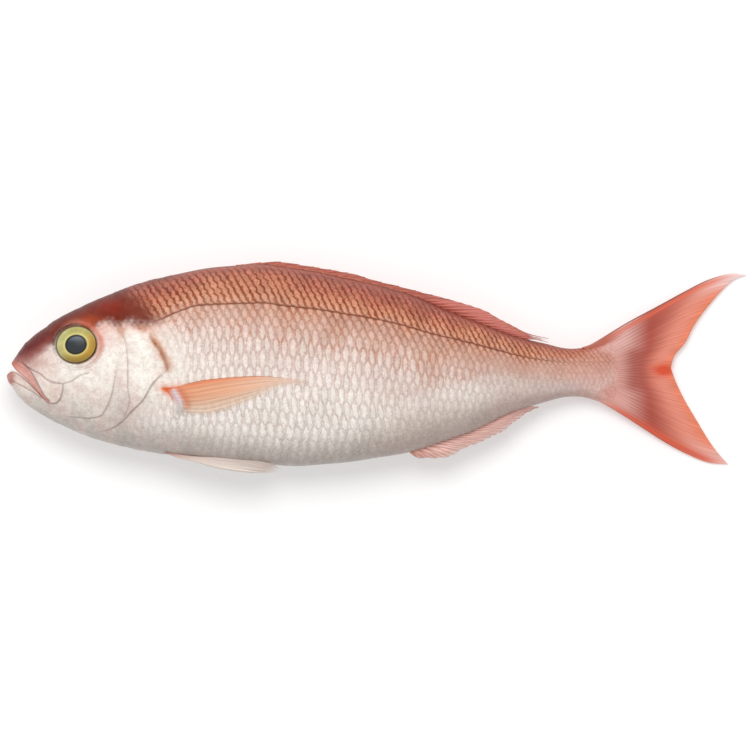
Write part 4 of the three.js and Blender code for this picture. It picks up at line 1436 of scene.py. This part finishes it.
pelvic = {
    "grid": (120, 36),
    "offset": [(88, 4.5), (120, 7), (157.5, 4.5)],  # from the middle plane
    "top": [(88, -47.2), (97, -48.6), (109.5, -50), (130.5, -50.5), (144.7, -52), (152, -55), (157.5, -58.6)],
    "low": [
        (91, -48.6), (98, -51.2), (105.8, -53), (118, -56.4), (130.3, -58.5), (142.6, -59.4), (157.5, -59.1)],
    "rays": 4,
}


def makePelvic(material, side, hand):
    u, v = overGrid(0, 1, *pelvic["grid"])
    top, low = alongLine(pelvic["top"], u), alongLine(pelvic["low"], u)
    p = top * (1 - v[..., None]) + low * v[..., None]
    ray = v * pelvic["rays"]
    ridge = 0.5 + 0.5 * wave(ray - 0.5)
    half = (1.1 - 0.7 * u) * (0.6 + 0.4 * ridge) * np.minimum(smooth(0, 0.06, v), smooth(0, 0.06, 1 - v))
    half = half * smooth(1, 0.95, u) + 0.06
    off = throughPoints(pelvic["offset"])(p[..., 0]) + 1.5 * v
    front, back = np.dstack([p, off + half]), np.dstack([p, off - half])
    paint = coats(tone(218, 206, 198), (
        (smooth(0.4, 0, u) * 0.75, (208, 158, 154)),
        (ridge * smooth(0.2, 0.7, v) * 0.8, (240, 232, 220)),
    ))
    cover = 0.95 - 0.45 * smooth(0.3, 1, u) * (1 - 0.8 * ridge * smooth(0.3, 0.8, v))
    cover = cover * smooth(1.0, 0.72, u)
    flip = (1, 1, side)
    makeFin("belly_fin_" + hand, front * flip, back * flip, ray, u, paint, cover, np.full(u.shape, 0.9),
            material)


redFin = finMaterial("redFin", (150, 62, 48), 0.42, 0.13)
clearFin = finMaterial("clearFin", (196, 112, 78), 0.32, 0.08)
makeTail(redFin)
makeBackFin(redFin)
makeVentFin(clearFin)
for side, hand in ((1, "left"), (-1, "right")):
    makePectoral(clearFin, side, hand)
    makePelvic(clearFin, side, hand)
print("fins made")

# Table, light and camera. The photo looks straight down on the fish from far away.
shot = {
    "width": 425.0 * mm,  # what the picture spans at the fish's middle height
    "centre": (-1.3 * mm, -4.9 * mm),
    "lens": 900.0,
    "sensor": 36.0,
}


# The table's half width and its drop under the fish in metres, and what keeps it white
table = {"reach": 4.0, "drop": 0.0004, "grey": 0.72, "glow": 0.32, "world": 0.6}


def makeFloor():
    mesh = bpy.data.meshes.new("table")
    reach = table["reach"]
    corners = [(-reach, -reach, 0), (reach, -reach, 0), (reach, reach, 0), (-reach, reach, 0)]
    mesh.from_pydata(corners, [], [(0, 1, 2, 3)])
    material, tree, shader = newMaterial("whiteTable", 0.8, specular=0.1)
    shader.inputs["Base Color"].default_value = (*[table["grey"]] * 3, 1)
    shader.inputs["Emission Color"].default_value = (1, 1, 1, 1)
    shader.inputs["Emission Strength"].default_value = table["glow"]
    mesh.materials.append(material)
    floor = bpy.data.objects.new("table", mesh)
    floor.location.z = -table["drop"]
    bpy.context.scene.collection.objects.link(floor)


# Round lights: place and width in metres, power in watts, and whether gloss shows them
lights = {
    "softbox": ((-0.1, 0.5, 1.25), 0.7, 9, False),
    "window": ((-0.5, 0.78, 1.08), 0.5, 0.6, True),  # gives the eye and the wet skin their gleam
}


def areaLight(name, place, size, power, seenInGloss):
    light = bpy.data.lights.new(name, "AREA")
    light.shape = "DISK"
    light.size = size
    light.energy = power
    lamp = bpy.data.objects.new(name, light)
    lamp.location = place
    lamp.rotation_euler = Vector(place).to_track_quat("Z", "Y").to_euler()
    lamp.visible_glossy = seenInGloss
    bpy.context.scene.collection.objects.link(lamp)


def makeLight():
    world = bpy.data.worlds.new("studio")
    bpy.context.scene.world = world
    world.use_nodes = True
    inputs = world.node_tree.nodes["Background"].inputs
    inputs["Color"].default_value = (1, 1, 1, 1)
    inputs["Strength"].default_value = table["world"]
    for name, values in lights.items():
        areaLight(name, *values)


def makeCamera():
    camera = bpy.data.cameras.new("camera")
    camera.lens = shot["lens"]
    camera.sensor_width = shot["sensor"]
    away = shot["width"] * shot["lens"] / shot["sensor"]
    camera.clip_end = 20
    view = bpy.data.objects.new("camera", camera)
    view.location = (*shot["centre"], away + fishForm["lyingHeight"] * mm)
    bpy.context.scene.collection.objects.link(view)
    bpy.context.scene.camera = view
    bpy.context.scene.view_settings.view_transform = "Standard"


makeFloor()
makeLight()
makeCamera()
print("light and camera set")
